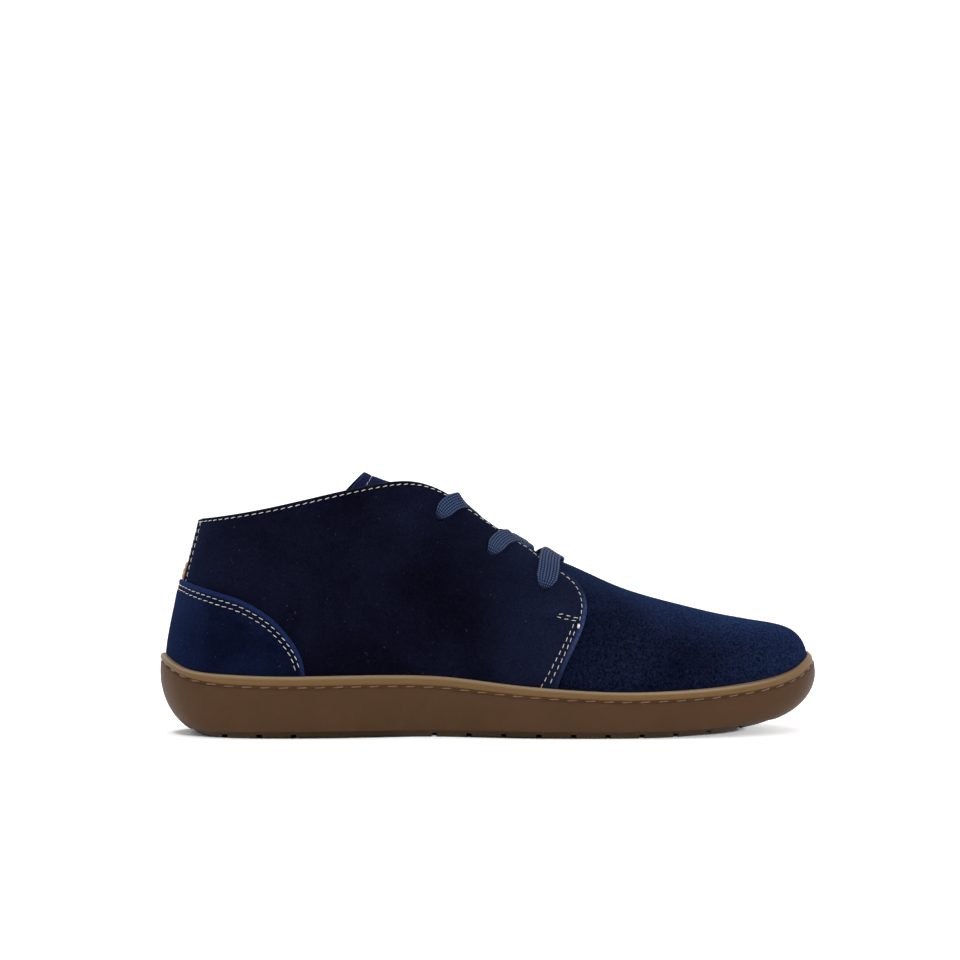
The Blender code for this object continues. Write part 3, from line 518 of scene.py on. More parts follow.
def make_lining():
    half = np.concatenate([np.linspace(0, CREST_STATION, 151), np.linspace(CREST_STATION, TOE, 50)[1:]])
    t = np.concatenate([half, 2 * TOE - half[-2:0:-1]])
    s = station(t)
    v = np.broadcast_to(np.linspace(0, 1, 46), (len(t), 46))
    base, normal = last_grid(t[:, None], v)
    outer = (-0.95 + 1.05 * grow(s, 7.5, -0.2))[:, None, None]
    outside, inside = base + normal * outer, base - normal * WALL
    climb = unit(base[:, -1] - base[:, -2])
    turned = grow(s, 8.0, -0.8)[:, None]
    out_rows, in_rows = [outside], [inside]
    for lift, pull in ((0.55, 0.06), (0.8, 0.35)):      # the rolled edge above the collar
        up = climb * lift * turned
        out_rows.append((outside[:, -1] + up - normal[:, -1] * pull * turned)[:, None])
        in_rows.append((inside[:, -1] + up + normal[:, -1] * pull * turned)[:, None])
    outside, inside = np.concatenate(out_rows, 1), np.concatenate(in_rows, 1)
    count = len(t)
    seam = [((count - c) % count, c) for c in range(count // 2) if s[c] >= CREST_STATION]
    made, shader = principled("black lining", (0.006, 0.007, 0.011), 0.85,
                              [("Sheen Weight", 0.03), ("Specular IOR Level", 0.05)])
    threads = [add_node(made, "TexWave", "Fac", {"Vector": on_piece(made), "Scale": 320.0, "Distortion": 0.6},
                        bands_direction=axis) for axis in ("X", "Z")]
    weave = mixed(made, "MULTIPLY", *threads)
    tint = ramp(made, weave, 0.0, 1.0, (0.003, 0.0035, 0.006), (0.016, 0.018, 0.027))
    finished(made, shader, tint, weave, 0.5, 0.0004)
    lining = leather("lining", outside, inside, made, closed=True, seam=seam)
    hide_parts("upper")
    return lining


LINING = make_lining()


# ---------------------------------------------------------------- quarters
# Two side panels of navy suede, coloured darker than the vamp's as painted shade, sewn over the vamp
# with pale thread and punched with three lace holes each.  Their front edges curve back to the sole, and
# the cut edge shows a lighter blue.
QUARTER_THICK = 1.3
BACK_STRIP_HALF = 5.5
# Seen from the side, x and z: the front edge from its foot to the throat, and the middles of the holes
QUARTER_EDGE = ((24.0, 16.0), (25.9, 23.5), (29.2, 31.6), (33.4, 39.9), (36.4, 46.5), (38.2, 53.0),
                (38.0, 58.6), (35.8, 63.4), (32.2, 67.0), (27.6, 70.4), (23.0, 73.6))
EYELETS = {"top": (-23.6, 93.1), "middle": (-1.2, 77.3), "bottom": (20.6, 63.0)}
EYELET_RADIUS = 2.6
# Rows sewn down the front of a quarter, seen from the side: the pair below and the short bar
DOWN_SEAMS = (((32.9, 45.1), (30.2, 39.7), (27.5, 33.9), (24.7, 28.5), (21.2, 21.5)),
              ((32.6, 48.0), (29.9, 42.6), (26.7, 36.8), (22.4, 28.9), (17.8, 20.6)))
TACK = ((34.5, 47.3), (33.9, 45.6))
BAR_SEAM = ((34.8, 49.6), (30.7, 50.7), (26.9, 51.6), (25.4, 50.9), (27.2, 50.0), (33.4, 48.7))
ROW_IN = 1.15                     # a row lies this far in from the collar, twice as far down the front
BACK_ROW_IN = 3.1                 # and this far in from the back edge
ROW_FOOT = 46.4                   # the front row ends at this height, above the pair of seams
CORNER_CLEAR = 3.0                # and has no stitch nearer the corner of the throat than this
ABOVE_RIM = 0.0015                # share of the wall that a foot stays above the rim of the cup
CUT_FINE = np.array([0.0, 0.1, 0.25, 0.45, 0.75, 1.1])     # rows of points this far from a cut edge


def flip(t, outer_side):
    return 2 * TOE - t if outer_side else t


def on_side(t, v, outer_side):
    """Points and normals of the last on one side, with t counted from heel to toe."""
    return last(flip(t, outer_side), v), last_normal(flip(t, outer_side), v)


def run_lengths(path):
    """Distance of every point of a path from its start."""
    return np.concatenate([[0.0], np.cumsum(np.linalg.norm(np.diff(path, axis=0), axis=1))])


def smooth_edge(edge, parts=6):
    """More points on the smooth curve through a short list of them."""
    path = [np.array(point, float) for point in edge]
    path = [2 * path[0] - path[1]] + path + [2 * path[-1] - path[-2]]
    fine = []
    for a, b, c, d in zip(path, path[1:], path[2:], path[3:]):
        for f in np.arange(parts) / parts:
            bend = (2 * a - 5 * b + 4 * c - d) * f * f + (3 * b - a - 3 * c + d) * f ** 3
            fine.append(0.5 * (2 * b + (c - a) * f + bend))
    return np.array(fine + [path[-2]])


def side_place(edge, outer_side=False):
    """The t and v of points of the last that are seen from the side at the x and z of an edge."""
    def seen(t, v):
        return last(flip(t, outer_side), v)[:, [0, 2]]

    edge = np.asarray(edge, float)
    t, v = (grid.ravel() for grid in np.meshgrid(np.linspace(0.3, 13.5, 100), np.linspace(0.02, 1.0, 50)))
    nearest = np.linalg.norm(seen(t, v)[None] - edge[:, None], axis=2).argmin(1)
    t, v = t[nearest], v[nearest]
    for _ in range(12):
        here = seen(t, v)
        by_t = (seen(t + T_STEP, v) - here) / T_STEP
        by_v = (seen(t, v + V_STEP / 2) - here) / (V_STEP / 2)
        miss = edge - here
        size = by_t[:, 0] * by_v[:, 1] - by_t[:, 1] * by_v[:, 0]
        t = t + np.clip((miss[:, 0] * by_v[:, 1] - miss[:, 1] * by_v[:, 0]) / size, -0.4, 0.4)
        v = v + np.clip((by_t[:, 0] * miss[:, 1] - by_t[:, 1] * miss[:, 0]) / size, -0.1, 0.1)
    return t, v


def inset(t, v, distance, outer_side):
    """A row that keeps this far to the lower side of an edge given by its t and v from back to front."""
    here, normal = on_side(t, v, outer_side)
    inward = unit(np.cross(normal, np.gradient(here, axis=0))) * (distance if outer_side else -distance)
    by_t = last(flip(t + T_STEP, outer_side), v) - last(flip(t - T_STEP, outer_side), v)
    by_v = last(flip(t, outer_side), v + V_STEP) - last(flip(t, outer_side), v - V_STEP)
    by_t, by_v = by_t / (2 * T_STEP), by_v / (2 * V_STEP)
    tt, tv, vv = (by_t * by_t).sum(1), (by_t * by_v).sum(1), (by_v * by_v).sum(1)
    a, b = (inward * by_t).sum(1), (inward * by_v).sum(1)
    size = tt * vv - tv * tv
    return t + (a * vv - b * tv) / size, v + (b * tt - a * tv) / size


def resample(path, step):
    """Points every step along a path."""
    lengths = run_lengths(path)
    places = np.arange(0.0, lengths[-1], step)
    return np.stack([np.interp(places, lengths, path[:, k]) for k in range(path.shape[1])], -1)


def nearness(points, path, step=0.25):
    """Distance of every point of a grid from a path."""
    path = resample(path, step)
    tree = kdtree.KDTree(len(path))
    for k, place in enumerate(path):
        tree.insert(place, k)
    tree.balance()
    return np.array([tree.find(point)[2] for point in points.reshape(-1, 3)]).reshape(points.shape[:-1])


def sew(name, rows, finish, pitch=3.2, length=2.25, radius=0.14, proud=0.16):
    """Stitches along rows of places and normals: each is a short bowed thread, ends down in its holes."""
    points, faces = [], []
    sides, bows, fine_step = 7, 7, 0.1
    for places, normals in rows:
        fine = resample(np.concatenate([places, normals], 1), fine_step)
        step = int(round(pitch / fine_step))
        for middle in range(step // 2, len(fine) - step // 3, step):
            centre, normal = fine[middle, :3], fine[middle, 3:]
            ahead = fine[min(middle + 4, len(fine) - 1), :3] - fine[max(middle - 4, 0), :3]
            across = unit(np.cross(normal, ahead))
            ahead = unit(np.cross(across, normal))
            normal = np.cross(ahead, across)
            base = len(points)
            for f in np.linspace(-1, 1, bows):
                thin = 0.55 + 0.45 * math.sqrt(1 - min(1.0, f * f) * 0.96)
                spine = centre + ahead * f * length / 2 + across * f * 0.14
                spine = spine + normal * (proud + 0.12 - (proud + 0.34) * f ** 4)
                for k in range(sides):
                    angle = 2 * math.pi * k / sides
                    ring = across * math.cos(angle) + normal * math.sin(angle)
                    points.append(spine + ring * radius * thin)
            faces += tube_faces(base, sides, bows)
            faces.append([base + k for k in range(sides)])
            faces.append([base + (bows - 1) * sides + k for k in reversed(range(sides))])
    thread = add_piece(name, points, faces, finish)


def thread_finish(name, dark, light):
    """Twisted polyester thread: fine strands in a slightly uneven colour."""
    made, shader = principled(name, light, 0.6, [("Sheen Weight", 0.2)])
    twist = noise(made, 1400.0, 2.0)
    return finished(made, shader, ramp(made, twist, 0.3, 0.7, dark, light), twist, 0.4, 0.0002)


PALE_THREAD = thread_finish("pale thread", (0.42, 0.37, 0.32), (0.82, 0.76, 0.70))
# The quarters' suede is coloured darker than the vamp's: painted shade
QUARTER_SUEDE = suede("suede of the quarters", (0.0020, 0.0019, 0.0053), (0.0040, 0.0048, 0.0135),
                      (0.021, 0.033, 0.084), 20.0, 0.45, 0.45)


def rounded(distance, radius=0.45):
    """How far the face drops where a cut edge is rounded, this far from the edge."""
    return radius * (1.0 - np.sqrt(1.0 - np.clip(1.0 - distance / radius, 0, 1) ** 2))


def groove(distance, depth, width):
    """How far thread pulls the face down, this far from a seam."""
    return depth * np.exp(-(distance / width) ** 2)


def lay_seams(base, rows, outer_side, height):
    """Rows to sew along from their t and v, and the distance of every point of a grid from them."""
    sewn, from_seam = [], np.full(base.shape[:2], np.inf)
    for row_t, row_v in rows:
        places, normals = on_side(row_t, row_v, outer_side)
        from_seam = np.minimum(from_seam, nearness(base, places))
        sewn.append((places + normals * height, normals))
    return sewn, from_seam


def cut_away(obj, points, faces, finish):
    """Cuts a closed shape out of obj for good; finish is the material of the cut."""
    mesh = bpy.data.meshes.new("cutter")
    mesh.from_pydata((np.asarray(points) * MM).tolist(), [], faces)
    mesh.materials.append(finish)
    cutter = bpy.data.objects.new("cutter", mesh)
    bpy.context.scene.collection.objects.link(cutter)
    step = obj.modifiers.new("cut", "BOOLEAN")
    step.operation, step.solver, step.object = "DIFFERENCE", "EXACT", cutter
    step.material_mode = "TRANSFER"
    evaluated = obj.evaluated_get(bpy.context.evaluated_depsgraph_get())
    cut = bpy.data.meshes.new_from_object(evaluated)
    obj.modifiers.remove(step)
    obj.data = cut
    bpy.data.objects.remove(cutter, do_unlink=True)


def punches(offset_low, offset_high, outer_side):
    """A closed round bar through each lace hole of one side."""
    points, faces = [], []
    sides = 28
    for x, z in EYELETS.values():
        t, v = side_place([(x, z)], outer_side)
        centre, normal = (found[0] for found in on_side(t, v, outer_side))
        across = unit(np.cross(normal, (1.0, 0.0, 0.0)))
        along = np.cross(normal, across)
        base = len(points)
        for height in (offset_low, offset_high):
            for k in range(sides):
                angle = 2 * math.pi * k / sides
                ring = across * math.cos(angle) + along * math.sin(angle)
                points.append(centre + normal * height + ring * EYELET_RADIUS)
        faces.append([base + k for k in reversed(range(sides))])
        faces.append([base + sides + k for k in range(sides)])
        faces += [(base + k, base + (k + 1) % sides, base + sides + (k + 1) % sides, base + sides + k)
                  for k in range(sides)]
    return points, faces


def quarter_front(outer_side):
    """Reads the station of a quarter's front edge at any share of the wall."""
    edge_t, edge_v = side_place(smooth_edge(QUARTER_EDGE), outer_side)
    order = np.argsort(edge_v)
    edge_t, edge_v = edge_t[order], edge_v[order]
    slope = (edge_t[-1] - edge_t[-4]) / (edge_v[-1] - edge_v[-4])

    def front(v):
        return np.interp(v, edge_v, edge_t) + np.clip(v - edge_v[-1], 0, None) * slope

    return front


def quarter_grid(front, back_t):
    """The t and v of points all over a quarter, closely spaced near its cut edges."""
    fine = np.linspace(0.0, 1.0, 400)
    lengths = run_lengths(last(back_t + (front(0.6) - back_t) * fine, 0.6))
    marks = np.concatenate([[0.0, 0.1, 0.25, 0.5], np.linspace(0.9, lengths[-1] - 1.6, 232),
                            lengths[-1] - CUT_FINE[::-1]])
    u = np.interp(marks, lengths, fine)
    up = np.concatenate([np.linspace(0, 0.975, 100), [0.982, 0.988, 0.9925, 0.996, 0.9985, 1.0]])
    v = np.full((len(u), len(up)), 0.5)
    for _ in range(6):
        t = back_t + (front(v) - back_t) * u[:, None]
        low = rim_share(t) + ABOVE_RIM
        v = low + (1.0 - low) * up[None, :]
    return t, v


def quarter_rows(front, back_t, foot_v, outer_side):
    """The cut edges of a quarter, and its rows of stitches by their t and v."""
    top_t = np.linspace(back_t, front(1.0), 260)
    down_v = np.linspace(1.0, foot_v, 90)[1:]
    rim_t = np.concatenate([top_t, front(down_v)])
    rim_v = np.concatenate([np.ones(len(top_t)), down_v])
    rim = last(flip(rim_t, outer_side), rim_v)
    back_edge = last(flip(np.full(120, back_t), outer_side), np.linspace(0.1, 1.0, 120))
    in_from_edge = ROW_IN + ROW_IN * grow(rim_t, front(1.0) - 0.6, 0.5) * (rim_v < 0.999)
    row_t, row_v = inset(rim_t, rim_v, in_from_edge[:, None], outer_side)
    row = last(flip(row_t, outer_side), row_v)
    keep = (row[:, 2] > ROW_FOOT) | (row_t < THROAT_CORNER)
    keep &= np.linalg.norm(row - rim[len(top_t)], axis=1) > CORNER_CLEAR
    rows = [(row_t[keep], row_v[keep])]
    rows += [side_place(smooth_edge(seam), outer_side) for seam in DOWN_SEAMS + (BAR_SEAM,)]
    rows.append(inset(np.full(50, back_t), np.linspace(0.995, 0.62, 50), -BACK_ROW_IN, outer_side))
    return (rim, back_edge), rows


def make_quarter(name, outer_side):
    front = quarter_front(outer_side)
    scan = np.linspace(1.5, 0, 200)
    back_t = np.interp(-BACK_STRIP_HALF - GAP, last(scan, 0.8)[:, 1], scan)
    t, v = quarter_grid(front, back_t)
    edges, rows = quarter_rows(front, back_t, v[-1, 0], outer_side)
    base, normal = on_side(t, v, outer_side)
    if outer_side:
        base, normal = base[::-1], normal[::-1]
    face_height = GAP + QUARTER_THICK
    sewn, from_seam = lay_seams(base, rows, outer_side, face_height - 0.30)
    from_edge = np.minimum(*(nearness(base, edge) for edge in edges))
    sunk = rounded(from_edge) + groove(from_seam, 0.32, 0.8)
    relief = hand_lasted(base) * grow(from_edge, 0.0, 12.0) - sunk
    outside = base + normal * (face_height + relief)[..., None]
    inside = base + normal * GAP
    x, z = base[..., 0], base[..., 2]
    # Lighter most along the cut front edge, and a little over the front and where the bar seam is
    edge_band = grow(from_edge, 2.0, -0.8) * grow(x, 22.0, 8.0)
    edge_band *= np.maximum(grow(z, 64.0, -10.0), 0.25) * np.maximum(grow(z, 14.0, 26.0), 0.45)
    brushed = np.exp(-((x - 27.0) / 9.0) ** 2 - ((z - 53.5) / 2.6) ** 2)
    wear_and_highlight = 0.12 * grow(x, -10.0, 32.0) + 0.85 * edge_band + 0.08 * brushed
    wear_and_highlight += 0.015 * grow(x, -98.0, -16.0)
    quarter = leather(name, outside, inside, QUARTER_SUEDE, wear_and_highlight=wear_and_highlight)
    cut_away(quarter, *punches(-1.0, 6.0, outer_side), QUARTER_SUEDE)
    quarter.data.set_sharp_from_angle(angle=math.radians(48.0))
    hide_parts(name)
    sew(name + "_stitches", sewn, PALE_THREAD)
    places, normals = on_side(*side_place(TACK, outer_side), outer_side)
    sew(name + "_tack", [(places + normals * (face_height - 0.1), normals)], PALE_THREAD, 1.6, 2.0, 0.6)


for quarter_name, is_outer in (("quarter_inner", False), ("quarter_outer", True)):
    make_quarter(quarter_name, is_outer)
    cut_away(LINING, *punches(-4.0, 3.0, is_outer), LINING.data.materials[0])


# ---------------------------------------------------------------- heel counter
# A moulded piece of navy suede that wraps the heel below the quarters' ends, over them.  Two rows of
# pale thread follow its curved upper edge; its foot is held in the cup sole.
COUNTER_OUTER = 2.8        # its face above the last
# The upper edge seen from the side, x and z: from behind the heel down to the sole
COUNTER_EDGE = ((-150.0, 65.6), (-133.0, 65.7), (-125.2, 63.7), (-116.2, 61.0), (-107.0, 58.0),
                (-98.6, 53.3), (-91.9, 47.8), (-86.0, 40.6), (-82.6, 34.2), (-81.0, 27.0), (-80.0, 15.0))


def make_counter():
    edge = smooth_edge(COUNTER_EDGE)
    scan = np.linspace(0.0, 4.4, 1600)
    foot_v = rim_share(scan) + ABOVE_RIM
    low_v, high_v = foot_v, np.ones(len(scan))
    for _ in range(26):
        middle = 0.5 * (low_v + high_v)
        here = last(scan, middle)
        below = here[:, 2] < np.interp(here[:, 0], edge[:, 0], edge[:, 1])
        low_v, high_v = np.where(below, middle, low_v), np.where(below, high_v, middle)
    end = int(np.argmax(low_v <= foot_v + 1e-6)) + 1     # where the upper edge meets the sole

    def evenly(v, count=116):
        """Stations and shares of the wall at even steps along a line, round both sides of the heel."""
        lengths = run_lengths(last(scan[:end], v[:end]))
        places = np.linspace(0, lengths[-1], count)
        t, v = np.interp(places, lengths, scan[:end]), np.interp(places, lengths, v[:end])
        return np.concatenate([-t[:0:-1], t]), np.concatenate([v[:0:-1], v])

    (edge_t, edge_v), (foot_t, rim_v) = evenly(low_v), evenly(foot_v)
    length = np.linalg.norm(last(edge_t, edge_v) - last(foot_t, rim_v), axis=1)
    shares = []
    for reach in length:
        fine = 1.0 - CUT_FINE[::-1] / max(reach, 3.0)
        shares.append(np.concatenate([np.linspace(0, fine[0], 62)[:-1], fine]))
    w = np.array(shares)
    t = foot_t[:, None] + (edge_t - foot_t)[:, None] * w
    v = rim_v[:, None] + (edge_v - rim_v)[:, None] * w
    base, normal = last(t, v), last_normal(t, v)
    from_edge = nearness(base, last(edge_t, edge_v))
    swell = np.sin(math.pi * np.abs(edge_t) / np.abs(edge_t).max())[:, None]
    rows = []
    for distance in (2.1 + 0.8 * swell, 3.8 + 1.1 * swell):
        row_t, row_v = inset(edge_t, edge_v, distance, True)
        keep = row_v > rim_share(row_t) + 0.01
        rows.append((row_t[keep], row_v[keep]))
    sewn, from_seam = lay_seams(base, rows, False, COUNTER_OUTER - 0.32)
    relief = hand_lasted(base) * grow(from_edge, 0.0, 10.0) * 1.2
    relief = relief - rounded(from_edge, 0.5) - groove(from_seam, 0.34, 0.8)
    outside = base + normal * (COUNTER_OUTER + relief)[..., None]
    inside = base + normal * (GAP + QUARTER_THICK + 0.05)
    wear_and_highlight = 0.45 * grow(from_edge, 2.2, -1.0) + 0.14 * grow(base[..., 0], -118.0, -14.0)
    face = suede("suede of the counter", (0.0017, 0.0027, 0.0102), (0.0040, 0.0068, 0.0228),
                 (0.014, 0.028, 0.100), 30.0, 0.5, 0.45)
    counter = leather("heel_counter", outside, inside, face, wear_and_highlight=wear_and_highlight)
    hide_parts("heel_counter")
    sew("counter_stitches", sewn, PALE_THREAD)


make_counter()


# ---------------------------------------------------------------- back strip and tab
# A dark suede strip covers the join of the quarters up the back.  A short tab of tan leather, folded
# double, is sewn on it and tucked under the edge of the counter.
STRIP_THICK = 1.0
STRIP_ROW = BACK_STRIP_HALF - 1.6       # its rows of stitches, this far from the middle
TAB_HALF, TAB_TALL = 4.5, 8.6


def back_patch(half_width, low_z, high_z, columns, rows):
    """A grid on the back of the heel between two heights, straight sides, with its edges spaced finely."""
    t_scan = np.linspace(-1.5, 1.5, 600)
    v = np.full((columns, rows), 0.8)
    fine = CUT_FINE[:4]
    y = np.concatenate([-half_width + fine, np.linspace(0.8 - half_width, half_width - 0.8, columns - 8),
                        half_width - fine[::-1]])
    height = high_z - low_z
    z = low_z + np.concatenate([fine, np.linspace(0.8, height - 0.8, rows - 8), height - fine[::-1]])
    t = -np.interp(y, -last(t_scan, 0.8)[::-1, 1], -t_scan[::-1])[:, None] * np.ones(rows)
    for _ in range(10):
        here = last(t, v)
        v = v + (z[None, :] - here[..., 2]) / ((last(t, v + V_STEP)[..., 2] - here[..., 2]) / V_STEP)
        here = last(t, v)
        t = t + (y[:, None] - here[..., 1]) / ((last(t + T_STEP, v)[..., 1] - here[..., 1]) / T_STEP)
    from_edge = np.minimum(np.minimum(y + half_width, half_width - y)[:, None],
                           np.minimum(z - low_z, high_z - z)[None, :])
    return t[::-1], v[::-1], from_edge[::-1]


def smooth_leather(name, colour, roughness, clouds, span, tints, pores, relief):
    """Tan leather: cloudy colour between two tints, and fine pores."""
    made, shader = principled(name, colour, roughness)
    tint = ramp(made, noise(made, *clouds), *span, *tints)
    dots = add_node(made, "TexVoronoi", "Distance", {"Vector": on_piece(made), "Scale": pores})
    return finished(made, shader, tint, dots, *relief)


def make_back():
    top_z = float(top_point(np.array(0.0))[2])
    t, v, from_edge = back_patch(BACK_STRIP_HALF, COUNTER_EDGE[0][1] - 3.0, top_z - 0.05, 30, 60)
    base, normal = last(t, v), last_normal(t, v)
    y = base[..., 1]
    from_seam = np.abs(np.abs(y) - STRIP_ROW)
    sunk = rounded(from_edge, 0.4) + groove(from_seam, 0.25, 0.6)
    outside = base + normal * (GAP + STRIP_THICK - sunk)[..., None]
    strip = leather("back_strip", outside, base + normal * GAP, QUARTER_SUEDE)
    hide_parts("back_strip")
    rows = []
    z = np.linspace(66.5, top_z - 1.5, 60)
    for side in (-STRIP_ROW, STRIP_ROW):
        picks = np.abs(y - side).argmin(0), np.arange(y.shape[1])
        heights = base[picks][:, 2]
        places, normals = (np.stack([np.interp(z, heights, axis) for axis in grid[picks].T], -1)
                           for grid in (base, normal))
        places[:, 1] = side
        rows.append((places + normals * (GAP + STRIP_THICK - 0.22), normals))
    sew("strip_stitches", rows, PALE_THREAD)

    low = COUNTER_EDGE[0][1] - 1.2
    t, v, from_edge = back_patch(TAB_HALF, low, low + TAB_TALL, 34, 46)
    base, normal = last(t, v), last_normal(t, v)
    up = base[..., 2] - low
    inner = GAP + STRIP_THICK + 0.02
    # Thin where it is tucked under the counter, thick where it is folded double
    thick = np.interp(up, (0.0, 1.3, 2.2, 5.0, TAB_TALL), (0.25, 0.25, 0.95, 0.95, 0.65))
    sunk = np.minimum(rounded(from_edge, 0.4) + groove(up - 6.4, 0.2, 0.6), thick - 0.12)
    outside = base + normal * (inner + thick - sunk)[..., None]
    made = smooth_leather(
        "tan leather", (0.42, 0.27, 0.12), 0.6, clouds=(160.0, 4.0), span=(0.35, 0.65),
        tints=((0.30, 0.18, 0.075), (0.52, 0.35, 0.17)), pores=1300.0, relief=(0.25, 0.0003))
    tab = leather("back_tab", outside, base + normal * inner, made)
    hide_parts("back_tab")


make_back()


# ---------------------------------------------------------------- tongue
# A long strip of thick suede, sewn under the vamp and curved over the instep.  Its free end stands
# above the collar, with a row of pale thread set in from the edge.
TONGUE_THICK = 1.8
TONGUE_ROW_IN = 3.8
TONGUE_HALF = 22.0                      # usual half width, to space the columns near its edges by
# Middle of the outer face, lean of the section, its radius and half its width
TONGUE_ROWS = (
    (43.0, 65.6, 24.0, 32.0, 18.0),     # under the vamp
    (31.0, 71.0, 26.0, 29.0, 20.0),
    (15.0, 79.1, 30.0, 25.5, 20.5),
    (-3.0, 90.5, 35.0, 22.0, 20.5),
    (-18.0, 101.4, 33.0, 20.5, 21.0),
    (-31.0, 106.0, 24.0, 19.5, 22.0),
    (-43.0, 108.0, 26.0, 20.5, 23.5),
    (-54.5, 112.6, 42.0, 22.0, 24.0),   # above the collar
)


def tongue_place(row, across):
    """Points on the tongue: row is a smoothed table row, across runs -1..1."""
    x, z, lean, radius, half = (row[..., k] for k in range(5))
    lean = np.radians(lean)
    normal = np.stack([np.sin(lean), 0 * lean, np.cos(lean)], -1)
    centre = np.stack([x, 0 * x, z], -1)
    angle = across * half / radius
    out = normal * np.cos(angle)[..., None] + np.stack([0 * angle, np.sin(angle), 0 * angle], -1)
    return centre - normal * radius[..., None] + out * radius[..., None], out


def make_tongue():
    table = smooth_edge(TONGUE_ROWS, 20)
    lengths = run_lengths(table[:, :2])
    top = lengths[-1]

    def table_at(marks):
        return np.stack([np.interp(marks, lengths, column) for column in table.T], -1)

    fine = CUT_FINE[:5]
    marks = np.concatenate([np.linspace(0, top - 1.2, 150), top - fine[::-1]])
    rows = table_at(marks)
    edge, inner = fine / TONGUE_HALF, 1 - 1.2 / TONGUE_HALF
    across = np.concatenate([-1 + edge, np.linspace(-inner, inner, 62), 1 - edge[::-1]])
    grid_rows = np.broadcast_to(rows[:, None], (len(rows), len(across), 5))
    grid_across = np.broadcast_to(across[None], grid_rows.shape[:2])
    from_side = (1 - np.abs(grid_across)) * grid_rows[..., 4]
    from_edge = np.minimum(from_side, (top - marks)[:, None])
    side_marks = np.linspace(top - 62.0, top - TONGUE_ROW_IN, 60)[:-1]
    seam_rows = table_at(np.concatenate([side_marks, np.full(60, top - TONGUE_ROW_IN), side_marks[::-1]]))
    limit = 1 - TONGUE_ROW_IN / seam_rows[:, 4]
    seam_across = limit * np.concatenate([np.full(59, -1.0), np.linspace(-1, 1, 60), np.full(59, 1.0)])
    seam, seam_normal = tongue_place(seam_rows, seam_across)
    surface, out = tongue_place(grid_rows, grid_across)
    from_seam = nearness(surface, seam, 0.3)
    wave = 0.25 * np.sin(surface[..., 0] / 8.0 + surface[..., 1] / 9.0) * grow(from_edge, 0.0, 6.0)
    sunk = rounded(from_edge, 0.45) + groove(from_seam, 0.3, 0.8)
    outside = surface + out * (wave - sunk)[..., None]
    inside = surface - out * TONGUE_THICK
    face = suede("suede of the tongue", (0.0038, 0.0044, 0.0170), (0.0066, 0.0078, 0.0290),
                 (0.013, 0.026, 0.090), 30.0, 0.5, 0.4)
    tongue = leather("tongue", outside, inside, face, wear_and_highlight=0.4 * grow(from_edge, 1.2, -0.9))
    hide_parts("tongue")
    sew("tongue_stitches", [(seam - seam_normal * 0.3, seam_normal)], PALE_THREAD, radius=0.1, proud=0.04)


make_tongue()


# ---------------------------------------------------------------- insole
# A loose footbed of tan leather over soft foam, cut a little smaller than the floor of the boot, with
# its edge turned up slightly against the lining.
INSOLE_THICK = 4.0


def make_insole():
    s = np.concatenate([[0.04, 0.12, 0.25], np.linspace(0.4, 13.5, 130), [13.7, 13.86, 13.96]])
    across = np.sin(np.linspace(-math.pi / 2, math.pi / 2, 56))
    sides = []
    for t in (s, 2 * TOE - s):
        place, out = sole_outline(t)
        sides.append(place - out * (SOLE["ledge"](t) + CUP_TUCK + WALL + 2 * GAP)[:, None])
    f = (across + 1) / 2
    plan = sides[0][:, None] * (1 - f)[None, :, None] + sides[1][:, None] * f[None, :, None]
    bottom = cup_floor(plan[..., 0]) + GAP
    border = np.concatenate([sides[0], sides[1][::-1]])
    from_edge = nearness(np.dstack([plan, 0 * bottom]), np.column_stack([border, 0 * border[:, 0]]), 0.5)
    lip = 1.1 * np.exp(-(from_edge / 5.0) ** 2)
    arch = 1.6 * np.exp(-((plan[..., 0] + 30) / 28.0) ** 2) * np.clip(-plan[..., 1] / 30.0, 0, 1) ** 1.5
    sunk = rounded(from_edge, 0.8) + groove(from_edge - 3.0, 0.25, 0.5)
    outside = np.dstack([plan, bottom + INSOLE_THICK + lip + arch - sunk])
    inside = np.dstack([plan, bottom])
    made = smooth_leather(
        "footbed leather", (0.30, 0.18, 0.09), 0.7, clouds=(28.0, 6.0), span=(0.32, 0.7),
        tints=((0.19, 0.105, 0.05), (0.33, 0.20, 0.10)), pores=700.0, relief=(0.3, 0.0004))
    insole = leather("insole", outside, inside, made)
    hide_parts("insole")


make_insole()


# ---------------------------------------------------------------- cup sole
# One moulding of brown gum rubber: a wall that cups the upper, a paler lip along its rim with a painted
# highlight on its crest, a groove for the sole stitching and a tread with cross grooves, coloured darker
# as painted shade.  The upper is glued and sewn into it.
GROOVE_PITCH, GROOVE_WIDTH, GROOVE_DEPTH = 14.4, 2.3, 1.8
GROOVE_GROUPS = ((-26.0, 12), (-129.0, 4))       # first groove and how many: forefoot, then heel
TREAD_DEPTH, TREAD_STEP = 3.0, 0.8
ROLL_BELOW = 8.0


def rubber(name, dark, light, roughness, grain):
    """Gum rubber: cloudy colour, a painted highlight along the crest of the lip, a fine moulded grain and a
    low gloss.
    """
    made, shader = principled(name, dark, roughness, [("Specular IOR Level", 0.16)])
    clouds = mixed(made, "MIX", (*dark, 1.0), (*light, 1.0), noise(made, 60.0, 8.0, 0.7))
    # The crest attribute mixes in a pale painted highlight along the top of the lip
    colour = mixed(made, "MIX", clouds, (0.27, 0.205, 0.125, 1.0), painted(made, "crest"))
    return finished(made, shader, colour, noise(made, 900.0, 3.0), grain, 0.0004)


